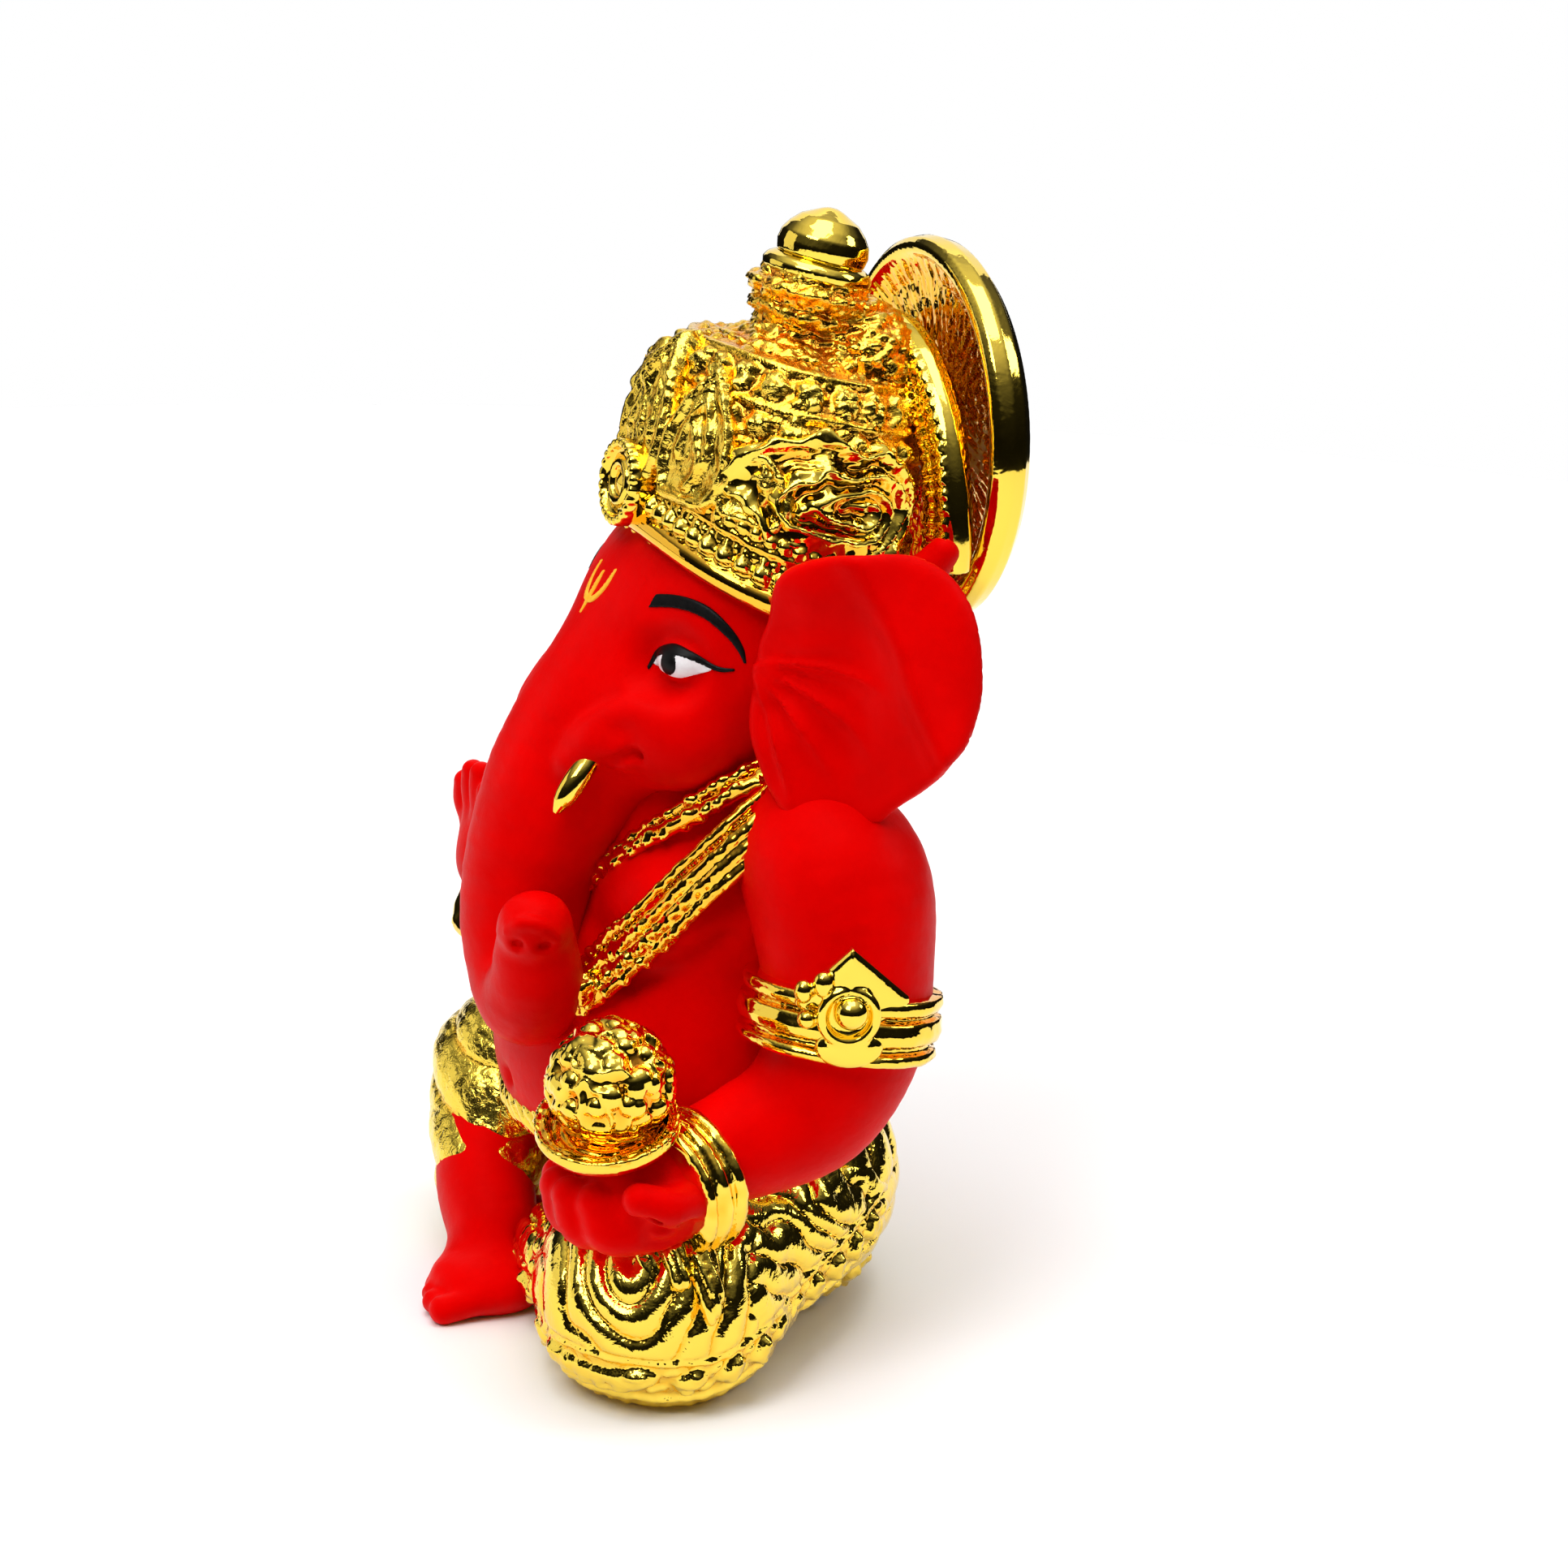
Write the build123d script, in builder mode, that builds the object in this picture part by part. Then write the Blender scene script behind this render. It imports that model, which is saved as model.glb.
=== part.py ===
"""Seated elephant-headed idol with a tall crown and a halo disc, cast, plated and painted.

Millimetres. +Z is up, the figure faces -Y and its left side is +X. The origin lies on the
floor, under the middle of the body.
"""
from build123d import *
import os

os.makedirs("parts", exist_ok=True)

# ---------------------------------------------------------------- driving dimensions
PAD_THICKNESS = 1.0
PAD_HALF_WIDTH = 9.5
PAD_HALF_DEPTH = 6.5
PLUG_INSET = 1.5
PLUG_THICKNESS = 2.5
CAVITY_HEIGHT = 8.5
SEAT_CENTRE_Y = 3.0
NECK_Z = 46.0
PEG_RADIUS = 1.6
CUTTER = 60.0

CROWN_BASE = (0, 1.2, 59.0)
CROWN_AXIS = (0, 0.233, 0.972)
CROWN_SEAT = 2.0
BAND_HEIGHT = 4.5
BAND_HALF_WIDTH = 14.0
BAND_HALF_DEPTH = 11.8
DRUM_HEIGHT = 16.2
DRUM_TOP_RADIUS = 8.6
TIER_TOP = 21.6
COLLAR_TOP = 22.7
FINIAL_TOP = 26.6
FINIAL_RADIUS = 3.3

HALO_RADIUS = 14.7
HALO_Y = 15.2
HALO_Z = 67.9

EAR_ROOT = (12.0, -1.6, 52.0)
EAR_SWEEP = 37
EAR_THICKNESS = 2.2

ARM_X = 20.6
ARMLET_Z = 32.0

# The crown leans back on the head, so its pieces are set out from their own plane.
CROWN = Plane(origin=CROWN_BASE, x_dir=(1, 0, 0), z_dir=CROWN_AXIS)


# ---------------------------------------------------------------- shape helpers
def turning_plane(base):
    """Plane through a piece's axis: its x is the radius and its y is the height."""
    return Plane(origin=base.origin, x_dir=base.x_dir, z_dir=-base.y_dir)


def turn(base, outline):
    """Turn a closed outline of (radius, height) points about the base plane's normal."""
    with BuildSketch(turning_plane(base)) as profile:
        with BuildLine():
            Polyline(*outline, close=True)
        make_face()
    revolve(profile.sketch, axis=Axis(base.origin, base.z_dir))


def ball(centre, radius):
    """Sphere at a point."""
    with Locations(centre):
        Sphere(radius)


def ellipse_stack(levels, base=Plane.XY):
    """Loft ellipses given as (height, centre y, half width, half depth)."""
    sections = []
    for height, centre_y, half_width, half_depth in levels:
        with BuildSketch(base.offset(height)) as level:
            with Locations((0, centre_y)):
                Ellipse(half_width, half_depth)
        sections.append(level.sketch.face())
    loft(sections)


def limb(stations):
    """Loft circles given as (point, radius), each square to the way the limb runs there."""
    points = [Vector(*point) for point, radius in stations]
    sections = []
    for index, (point, radius) in enumerate(stations):
        before = points[max(index - 1, 0)]
        after = points[min(index + 1, len(points) - 1)]
        with BuildSketch(Plane(origin=point, z_dir=after - before)) as ring:
            Circle(radius)
        sections.append(ring.sketch.face())
    loft(sections)


def mirrored(stations):
    """The same stations on the other side of the figure."""
    return [((-x, y, z), radius) for (x, y, z), radius in stations]


def above_floor():
    """Cut away what would reach below the floor."""
    split(bisect_by=Plane.XY, keep=Keep.TOP)


def peg(start, end, radius):
    """Round dowel from one point to another."""
    run = Vector(*end) - Vector(*start)
    with BuildPart() as dowel:
        with BuildSketch(Plane(origin=start, z_dir=run)) as section:
            Circle(radius)
        extrude(section.sketch, amount=run.length)
    return dowel


def fitted(form, *neighbours):
    """The form with its neighbours taken out, less any loose offcut, so that they meet face to face."""
    with BuildPart() as whole:
        add(form.part)
        for neighbour in neighbours:
            add(neighbour.part, mode=Mode.SUBTRACT)
    with BuildPart() as piece:
        add(whole.part.solids().sort_by(SortBy.VOLUME)[-1])
    return piece


# ---------------------------------------------------------------- dowels that join the castings
waist_peg = peg((0, 2, 11), (0, 1, 20), 3.0)
neck_peg = peg((0, 0.5, 40), (0, 0.5, 50), 2.6)
crown_peg = peg((0, 1.5, 55), (0, 3.2, 64), 2.2)
halo_stud = peg((0, 9, 66), (0, HALO_Y + 1.4, 66), PEG_RADIUS)
shoulder_peg_left = peg((9, 1, 38), (19, 1, 36), PEG_RADIUS)
shoulder_peg_right = peg((-9, 1, 38), (-19, 1, 36), PEG_RADIUS)

# ---------------------------------------------------------------- main masses, before they are fitted
TORSO_LEVELS = [
    (12.0, -1.0, 13.0, 12.5),
    (18.0, -2.3, 14.5, 14.2),
    (24.0, -2.3, 14.5, 13.4),
    (31.0, -1.2, 14.6, 11.4),
    (37.0, -0.2, 15.2, 9.6),
    (42.0, 0.3, 12.5, 8.2),
    (NECK_Z, 0.5, 9.0, 7.0),
]
with BuildPart() as torso_form:
    ellipse_stack(TORSO_LEVELS)

with BuildPart() as seat_form:
    ellipse_stack([
        (0.0, SEAT_CENTRE_Y, 12.0, 9.0),
        (5.5, SEAT_CENTRE_Y, 15.4, 12.0),
        (11.0, SEAT_CENTRE_Y, 16.0, 12.5),
        (16.5, SEAT_CENTRE_Y + 0.5, 13.6, 10.6),
    ])

with BuildPart() as head_form:
    ellipse_stack([
        (41.5, -1.0, 9.5, 8.0),
        (46.0, -1.6, 12.0, 10.6),
        (52.0, -0.8, 13.4, 11.6),
        (58.0, 0.6, 13.0, 11.0),
        (62.0, 1.6, 11.6, 9.8),
    ])
    limb([
        ((0, -2.5, 58.0), 7.4),
        ((0, -4.6, 54.0), 7.8),
        ((0, -8.6, 47.5), 7.0),
        ((0, -12.0, 43.0), 6.1),
        ((0, -14.2, 37.6), 5.2),
        ((0.2, -15.4, 32.5), 4.6),
        ((1.4, -15.9, 28.4), 4.1),
        ((4.4, -16.3, 26.4), 3.7),
        ((7.4, -17.0, 28.4), 3.3),
        ((8.4, -17.6, 31.6), 2.9),
        ((8.8, -18.0, 34.4), 2.5),
    ])

with BuildPart() as arm_form_left:
    limb([
        ((14.0, 0.6, 41.0), 5.6),
        ((18.6, 1.2, 37.6), 6.6),
        ((ARM_X, 1.6, ARMLET_Z), 6.2),
        ((21.0, 1.4, 26.5), 5.7),
        ((20.8, -0.6, 22.2), 5.2),
        ((20.6, -4.2, 20.0), 4.4),
        ((20.4, -8.4, 19.2), 3.8),
    ])

with BuildPart() as arm_form_right:
    limb([
        ((-14.0, 0.6, 41.0), 5.6),
        ((-18.6, 1.2, 37.6), 6.6),
        ((-ARM_X, 1.6, ARMLET_Z), 6.2),
        ((-21.0, 1.0, 27.0), 5.6),
        ((-21.0, -2.0, 23.6), 4.9),
        ((-20.8, -6.2, 24.0), 4.2),
        ((-20.6, -9.6, 26.2), 3.7),
    ])

with BuildPart() as leg_form_left:
    ball((16.3, -9.4, 6.4), 9.2)
    limb([((9, 5, 7.5), 7.0), ((13.5, -1.5, 7.3), 7.4), ((16, -8, 7), 7.6)])
    limb([((15, -11, 6), 5.8), ((9, -13, 5.6), 5.4), ((4, -13.2, 5), 4.8), ((0, -12.6, 4.6), 4.2)])
    above_floor()

with BuildPart() as leg_form_right:
    ball((-14.6, -10.6, 13.4), 6.3)
    limb([((-9, 5, 7.5), 7.0), ((-13.5, -2.5, 9.5), 6.8), ((-14.6, -9.6, 12.8), 6.0)])
    limb([((-14.4, -11.2, 13), 5.6), ((-11.5, -13.6, 9), 5.2), ((-8.4, -15.2, 6), 4.6)])
    above_floor()

with BuildPart() as shin_form_right:
    limb([((-9.5, -14.6, 7), 3.9), ((-5.5, -15.6, 4.6), 3.3), ((-1.5, -16.4, 3.4), 3.0)])
    above_floor()

with BuildPart() as foot_form_right:
    with BuildSketch():
        with Locations(Location((0.6, -17.6), 8)):
            Ellipse(4.0, 5.4)
    extrude(amount=3.4)

# ---------------------------------------------------------------- base and seat
with BuildPart() as base_pad:
    with BuildSketch():
        with Locations((0, SEAT_CENTRE_Y)):
            Ellipse(PAD_HALF_WIDTH, PAD_HALF_DEPTH)
    extrude(amount=PAD_THICKNESS)

with BuildPart() as base_plug:
    with BuildSketch(Plane.XY.offset(PAD_THICKNESS)):
        with Locations((0, SEAT_CENTRE_Y)):
            Ellipse(PAD_HALF_WIDTH - PLUG_INSET, PAD_HALF_DEPTH - PLUG_INSET)
    extrude(amount=PLUG_THICKNESS)

with BuildPart() as seat_cavity:
    with BuildSketch(Plane.XY.offset(PAD_THICKNESS)):
        with Locations((0, SEAT_CENTRE_Y)):
            Ellipse(PAD_HALF_WIDTH - PLUG_INSET, PAD_HALF_DEPTH - PLUG_INSET)
    extrude(amount=CAVITY_HEIGHT)

seat = fitted(seat_form, seat_cavity, base_pad, torso_form, waist_peg)

# ---------------------------------------------------------------- legs and feet
leg_left = fitted(leg_form_left, torso_form, seat_form)
leg_right = fitted(leg_form_right, torso_form, seat_form)

with BuildPart() as foot_whole_right:
    add(shin_form_right.part)
    add(foot_form_right.part)
foot_right = fitted(foot_whole_right, leg_form_left, leg_form_right, torso_form)

with BuildPart() as foot_form_left:
    with BuildSketch():
        with Locations((-7.4, -10.6)):
            Ellipse(6.0, 3.0)
    extrude(amount=4.2)
foot_left = fitted(foot_form_left, seat_form, leg_form_left, leg_form_right, shin_form_right, foot_form_right)

# ---------------------------------------------------------------- torso and waist sash
torso = fitted(torso_form, waist_peg, neck_peg, shoulder_peg_left, shoulder_peg_right)

with BuildPart() as sash_form:
    ellipse_stack([
        (15.2, -0.4, 15.2, 14.6),
        (17.0, -0.8, 16.2, 15.6),
        (18.8, -1.2, 15.6, 15.4),
    ])
waist_sash = fitted(sash_form, torso_form, seat_form, leg_form_right, leg_form_left)

# ---------------------------------------------------------------- necklaces
def necklace(rise, slope_origin, slope, width):
    """Strand on the chest: what a sloping slab leaves of a skin drawn round the torso."""
    with BuildPart() as strand:
        ellipse_stack([
            (height, centre_y, half_width + rise, half_depth + rise)
            for height, centre_y, half_width, half_depth in TORSO_LEVELS
        ])
        slab = Plane(origin=slope_origin, z_dir=Vector(0, 0, 1).rotate(Axis.X, slope))
        with BuildSketch(slab) as face:
            Rectangle(CUTTER, CUTTER)
        extrude(face.sketch, amount=width / 2, both=True, mode=Mode.INTERSECT)
    return strand


strand_form_lower = necklace(1.3, (0, -14.5, 26.0), 47, 3.0)
strand_form_upper = necklace(1.1, (0, -11.0, 34.0), 42, 2.2)
necklace_lower = fitted(strand_form_lower, torso_form, neck_peg)
necklace_upper = fitted(strand_form_upper, strand_form_lower, torso_form, neck_peg)

# ---------------------------------------------------------------- head, ears and tusks
with BuildPart() as head_cut_form:
    add(head_form.part)
    split(bisect_by=CROWN.offset(CROWN_SEAT), keep=Keep.BOTTOM)
head = fitted(head_cut_form, torso_form, strand_form_lower, strand_form_upper, neck_peg, crown_peg)

EAR_OUTLINE = [
    (-1.0, -1.0), (1.2, 8.6), (7.6, 11.7), (14.0, 10.0), (17.6, 2.6),
    (16.2, -2.6), (11.0, -6.6), (6.8, -10.4), (2.0, -7.4),
]


def ear(side):
    """Fan of an ear on its own swept-back plane; side is 1 on the figure's left and -1 on its right."""
    sweep = Vector(1, 0, 0).rotate(Axis.Z, EAR_SWEEP)
    fan_plane = Plane(
        origin=(side * EAR_ROOT[0], EAR_ROOT[1], EAR_ROOT[2]),
        x_dir=(side * sweep.X, sweep.Y, 0),
        z_dir=(sweep.Y, -side * sweep.X, 0),
    )
    upright = 1 if fan_plane.y_dir.Z > 0 else -1
    with BuildPart() as fan:
        with BuildSketch(fan_plane) as outline:
            with BuildLine():
                Spline(*[(x, upright * z) for x, z in EAR_OUTLINE], periodic=True)
            make_face()
        extrude(outline.sketch, amount=EAR_THICKNESS / 2, both=True)
    return fitted(
        fan, head_form, torso_form, arm_form_left, arm_form_right, strand_form_lower, strand_form_upper
    )


ear_left = ear(1)
ear_right = ear(-1)

TUSK_ROUTE = [((6.0, -11.5, 46.6), 1.5), ((6.9, -14.6, 43.6), 1.25), ((7.4, -16.2, 41.4), 0.5)]
with BuildPart() as tusk_form_left:
    limb(TUSK_ROUTE)
tusk_left = fitted(tusk_form_left, head_form)

with BuildPart() as tusk_form_right:
    limb(mirrored(TUSK_ROUTE))
tusk_right = fitted(tusk_form_right, head_form)

# ---------------------------------------------------------------- crown
with BuildPart() as drum_form:
    ellipse_stack([
        (CROWN_SEAT, 0, 12.4, 10.4),
        (BAND_HEIGHT, 0, 12.8, 10.8),
        (8.5, 0, 12.6, 10.8),
        (12.5, 0, 11.0, 10.0),
        (DRUM_HEIGHT, 0, DRUM_TOP_RADIUS, DRUM_TOP_RADIUS - 0.2),
    ], CROWN)
crown_drum = fitted(drum_form, crown_peg, halo_stud)

with BuildPart() as band_form:
    ellipse_stack([
        (-2.4, 0.2, BAND_HALF_WIDTH - 0.4, BAND_HALF_DEPTH - 0.4),
        (0.4, 0, BAND_HALF_WIDTH, BAND_HALF_DEPTH),
        (BAND_HEIGHT, 0, BAND_HALF_WIDTH - 0.4, BAND_HALF_DEPTH - 0.3),
    ], CROWN)
crown_band = fitted(band_form, head_form, drum_form, crown_peg, ear_left, ear_right)

with BuildPart() as crown_finial:
    turn(CROWN, [
        (0, TIER_TOP - 2.2), (1.3, TIER_TOP - 2.2), (1.3, COLLAR_TOP), (FINIAL_RADIUS - 0.3, COLLAR_TOP),
        (FINIAL_RADIUS, 23.5), (3.1, 24.5), (2.3, 25.4), (1.0, 26.1), (0.5, FINIAL_TOP), (0, FINIAL_TOP),
    ])

with BuildPart() as crown_collar:
    turn(CROWN, [(1.3, TIER_TOP), (4.2, TIER_TOP), (4.5, 22.15), (4.2, COLLAR_TOP), (1.3, COLLAR_TOP)])

with BuildPart() as tier_form:
    turn(CROWN, [
        (0, DRUM_HEIGHT), (6.8, DRUM_HEIGHT), (6.6, 17.2), (5.1, 17.8), (5.0, 18.4), (5.9, 18.9),
        (5.9, 19.5), (5.0, 20.0), (5.5, 20.6), (5.2, TIER_TOP), (0, TIER_TOP),
    ])
crown_tiers = fitted(tier_form, crown_finial)

RIB_REST_Z = 63.0
with BuildPart() as rib_form:
    with BuildSketch(Plane.XZ.offset(-12.6)):
        with Locations((0, RIB_REST_Z)):
            Ellipse(12.4, 13.6)
            Ellipse(9.6, 10.8, mode=Mode.SUBTRACT)
            Rectangle(CUTTER, CUTTER, align=(Align.CENTER, Align.MAX), mode=Mode.SUBTRACT)
    extrude(amount=-2.2)
crown_rib = fitted(rib_form, drum_form, band_form, head_form)

with BuildPart() as crest_form:
    ellipse_stack([
        (3.0, 0, 13.8, 11.6),
        (8.5, 0, 13.8, 12.2),
        (12.5, 0, 12.4, 11.4),
        (DRUM_HEIGHT, 0, 10.0, 10.2),
    ], CROWN)
    with BuildSketch(turning_plane(CROWN)) as petals:
        with Locations((0, 8.6)):
            Ellipse(3.8, 7.0)
        with Locations((-5.4, 7.8), (5.4, 7.8)):
            Ellipse(3.4, 5.8)
        with Locations((-9.6, 7.0), (9.6, 7.0)):
            Ellipse(3.0, 4.6)
        Rectangle(CUTTER, BAND_HEIGHT, align=(Align.CENTER, Align.MIN), mode=Mode.SUBTRACT)
    extrude(petals.sketch, amount=CUTTER, mode=Mode.INTERSECT)

MEDALLION_HEIGHT = 4.3
MEDALLION = Plane(
    origin=CROWN.origin + CROWN.z_dir * MEDALLION_HEIGHT - CROWN.y_dir * BAND_HALF_DEPTH,
    x_dir=(1, 0, 0),
    z_dir=(0, -1, 0.1),
)
with BuildPart() as medallion_form:
    turn(MEDALLION, [
        (0, -3.0), (3.2, -3.0), (3.2, 0.7), (2.8, 1.1), (2.4, 1.1), (2.1, 0.7), (1.5, 0.7), (1.1, 1.0), (0, 1.1),
    ])
crown_medallion = fitted(medallion_form, drum_form, band_form, head_form)
crown_crest = fitted(crest_form, drum_form, band_form, medallion_form)


def scroll(side):
    """Raised round scroll on one flank of the drum; side is 1 on the figure's left."""
    with BuildPart() as swirl:
        flank = Plane(origin=(side * 12.6, 4.8, 66.4), z_dir=(side * 1.0, 0.1, 0.1))
        turn(flank, [(0, -3.4), (5.0, -3.4), (4.8, 0), (4.1, 0.7), (3.3, 0.2), (2.4, 0.7), (0, 1.0)])
    return fitted(swirl, drum_form, band_form, rib_form, crest_form, ear_left, ear_right, head_form)


crown_scroll_left = scroll(1)
crown_scroll_right = scroll(-1)

# ---------------------------------------------------------------- halo disc
HALO = Plane(origin=(0, HALO_Y, HALO_Z), x_dir=(1, 0, 0), z_dir=(0, -1, 0))
with BuildPart() as halo_form:
    turn(HALO, [
        (0, -1.0), (11.5, -0.7), (13.4, 0.0), (14.2, 0.4), (HALO_RADIUS, -0.2), (HALO_RADIUS, -1.0),
        (13.6, -2.2), (10.0, -3.0), (0, -3.4),
    ])
halo_disc = fitted(halo_form, halo_stud, rib_form)

# ---------------------------------------------------------------- arms and hands
arm_left = fitted(arm_form_left, torso_form, head_form, strand_form_lower, strand_form_upper, shoulder_peg_left)
arm_right = fitted(arm_form_right, torso_form, head_form, strand_form_lower, strand_form_upper, shoulder_peg_right)

with BuildPart() as hand_form_left:
    limb([
        ((20.4, -8.4, 19.2), 3.8),
        ((20.2, -12.0, 18.0), 4.3),
        ((19.8, -16.0, 17.4), 4.0),
        ((19.2, -19.4, 17.6), 2.6),
    ])

with BuildPart() as hand_form_right:
    limb([
        ((-20.6, -9.0, 25.6), 3.4),
        ((-20.9, -11.2, 28.6), 3.7),
        ((-21.2, -12.2, 33.0), 3.4),
        ((-21.4, -12.6, 37.2), 1.8),
    ])
hand_right = fitted(hand_form_right, arm_form_right)

# ---------------------------------------------------------------- dish of sweets on the left palm
DISH = Plane(origin=(19.9, -15.6, 20.2), z_dir=(0.22, -0.18, 0.96))
with BuildPart() as modak_dish:
    turn(DISH, [(0, 0), (2.6, 0), (5.0, 1.4), (5.4, 2.0), (5.2, 2.5), (4.7, 2.3), (0, 0.9)])

with BuildPart() as heap_form:
    ball((20.2, -15.8, 25.0), 4.6)
    split(bisect_by=DISH.offset(1.0), keep=Keep.TOP)
modak_heap = fitted(heap_form, modak_dish)

with BuildPart() as hand_whole_left:
    add(hand_form_left.part)
    split(bisect_by=DISH, keep=Keep.BOTTOM)
hand_left = fitted(hand_whole_left, arm_form_left, modak_dish, leg_form_left)


# ---------------------------------------------------------------- armlets and bangles
def armlet(side):
    """Three-ridged band round an upper arm."""
    band_plane = Plane(origin=(side * ARM_X, 1.6, ARMLET_Z), z_dir=(side * 0.06, 0.03, -1))
    with BuildPart() as band:
        turn(band_plane, [
            (3.0, -2.6), (7.0, -2.6), (7.3, -2.0), (6.9, -1.1), (7.4, 0), (6.9, 1.1), (7.3, 2.0), (7.0, 2.6),
            (3.0, 2.6),
        ])
    return fitted(band, arm_form_left, arm_form_right, torso_form)


def armlet_boss(side):
    """Ball in a ring on a leaf, on the outside of the armlet."""
    face = Plane(origin=(side * 26.6, -1.6, ARMLET_Z), x_dir=(0, 0, 1), z_dir=(side * 0.93, -0.36, 0))
    with BuildPart() as boss:
        turn(face, [(0, -2.0), (2.6, -2.0), (2.5, 0.8), (1.7, 1.1), (1.4, 1.7), (0, 2.0)])
        with BuildSketch(face.offset(-1.6)) as leaf:
            Ellipse(4.4, 2.0)
        extrude(leaf.sketch, amount=1.9)
    return boss


def bangle(centre, direction, *wrist):
    """Ridged ring round a wrist."""
    with BuildPart() as ring:
        turn(Plane(origin=centre, z_dir=direction), [
            (2.5, -1.3), (4.5, -1.3), (4.9, -0.7), (4.6, 0), (4.9, 0.7), (4.5, 1.3), (2.5, 1.3),
        ])
    return fitted(ring, *wrist)


armlet_left = armlet(1)
armlet_right = armlet(-1)
armlet_boss_left = fitted(armlet_boss(1), armlet_left, arm_form_left)
armlet_boss_right = fitted(armlet_boss(-1), armlet_right, arm_form_right)
bangle_left = bangle((20.4, -8.0, 19.3), (0, -0.98, -0.2), arm_form_left, hand_form_left, leg_form_left)
bangle_right = bangle((-20.6, -9.2, 26.0), (0, -0.8, 0.6), arm_form_right, hand_form_right)

# ---------------------------------------------------------------- label and write every piece
PIECES = {
    "base_pad": base_pad,
    "base_plug": base_plug,
    "seat": seat,
    "waist_peg": waist_peg,
    "leg_left": leg_left,
    "leg_right": leg_right,
    "foot_left": foot_left,
    "foot_right": foot_right,
    "waist_sash": waist_sash,
    "torso": torso,
    "neck_peg": neck_peg,
    "head": head,
    "ear_left": ear_left,
    "ear_right": ear_right,
    "tusk_left": tusk_left,
    "tusk_right": tusk_right,
    "crown_peg": crown_peg,
    "crown_band": crown_band,
    "crown_drum": crown_drum,
    "crown_tiers": crown_tiers,
    "crown_collar": crown_collar,
    "crown_finial": crown_finial,
    "crown_rib": crown_rib,
    "crown_crest": crown_crest,
    "crown_medallion": crown_medallion,
    "crown_scroll_left": crown_scroll_left,
    "crown_scroll_right": crown_scroll_right,
    "halo_stud": halo_stud,
    "halo_disc": halo_disc,
    "shoulder_peg_left": shoulder_peg_left,
    "shoulder_peg_right": shoulder_peg_right,
    "arm_left": arm_left,
    "arm_right": arm_right,
    "hand_left": hand_left,
    "hand_right": hand_right,
    "armlet_left": armlet_left,
    "armlet_right": armlet_right,
    "armlet_boss_left": armlet_boss_left,
    "armlet_boss_right": armlet_boss_right,
    "bangle_left": bangle_left,
    "bangle_right": bangle_right,
    "modak_dish": modak_dish,
    "modak_heap": modak_heap,
    "necklace_upper": necklace_upper,
    "necklace_lower": necklace_lower,
}
for name, piece in PIECES.items():
    piece.part.label = name
    export_step(piece.part, f"parts/{name}.step")
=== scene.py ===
"""Seated elephant-headed idol: sculpted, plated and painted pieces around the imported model."""

import itertools
import math

import bpy
import numpy as np
from mathutils import Matrix, Vector


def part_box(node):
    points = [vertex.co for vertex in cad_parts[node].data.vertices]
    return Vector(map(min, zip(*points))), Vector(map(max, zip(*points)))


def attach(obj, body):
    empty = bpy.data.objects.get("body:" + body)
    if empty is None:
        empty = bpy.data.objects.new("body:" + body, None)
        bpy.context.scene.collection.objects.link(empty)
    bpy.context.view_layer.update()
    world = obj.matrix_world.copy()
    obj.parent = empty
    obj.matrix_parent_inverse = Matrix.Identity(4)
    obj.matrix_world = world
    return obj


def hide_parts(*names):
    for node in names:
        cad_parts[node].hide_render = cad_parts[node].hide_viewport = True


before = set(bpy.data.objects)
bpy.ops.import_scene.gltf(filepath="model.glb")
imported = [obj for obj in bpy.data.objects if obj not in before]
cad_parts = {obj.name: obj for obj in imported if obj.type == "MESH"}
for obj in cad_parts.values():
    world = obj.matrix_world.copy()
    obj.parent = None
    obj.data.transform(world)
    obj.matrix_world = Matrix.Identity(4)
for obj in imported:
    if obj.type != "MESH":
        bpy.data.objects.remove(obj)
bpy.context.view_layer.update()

MM = 0.001
COARSE = 1.0
SIDES = ((1, "left"), (-1, "right"))


# ======== camera
CAMERA_AZIMUTH = math.radians(66.7)
CAMERA_ELEVATION = math.radians(17.0)
CAMERA_ROLL = math.radians(2.6)
CAMERA_DISTANCE = 319 * MM
CAMERA_TARGET = Vector((2.2, 4.6, 41.1)) * MM
SENSOR_WIDTH = 36.0
CAMERA_LENS = 95.5


def make_camera():
    back = Vector((
        math.sin(CAMERA_AZIMUTH) * math.cos(CAMERA_ELEVATION),
        -math.cos(CAMERA_AZIMUTH) * math.cos(CAMERA_ELEVATION),
        math.sin(CAMERA_ELEVATION),
    ))
    level = Vector((math.cos(CAMERA_AZIMUTH), math.sin(CAMERA_AZIMUTH), 0))
    upward = back.cross(level)
    right = level * math.cos(CAMERA_ROLL) + upward * math.sin(CAMERA_ROLL)
    top = upward * math.cos(CAMERA_ROLL) - level * math.sin(CAMERA_ROLL)
    data = bpy.data.cameras.new("camera")
    data.sensor_width = SENSOR_WIDTH
    data.lens = CAMERA_LENS
    data.clip_start = 0.01
    camera = bpy.data.objects.new("camera", data)
    place = Matrix((right, top, back)).transposed().to_4x4()
    place.translation = CAMERA_TARGET + back * CAMERA_DISTANCE
    camera.matrix_world = place
    bpy.context.scene.collection.objects.link(camera)
    bpy.context.scene.camera = camera


make_camera()


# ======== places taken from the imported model, in mm
def low(node):
    return np.array(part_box(node)[0]) / MM


def high(node):
    return np.array(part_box(node)[1]) / MM


def middle(node):
    return (low(node) + high(node)) / 2


# ======== distance fields
# A field takes points (n, 3) in mm and gives their distance to a surface, negative inside.
def vec(*values):
    return np.array(values, dtype=float)


def size_of(v):
    return np.sqrt((v * v).sum(-1))


def unit(v):
    v = np.asarray(v, dtype=float)
    return v / np.linalg.norm(v)


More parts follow.
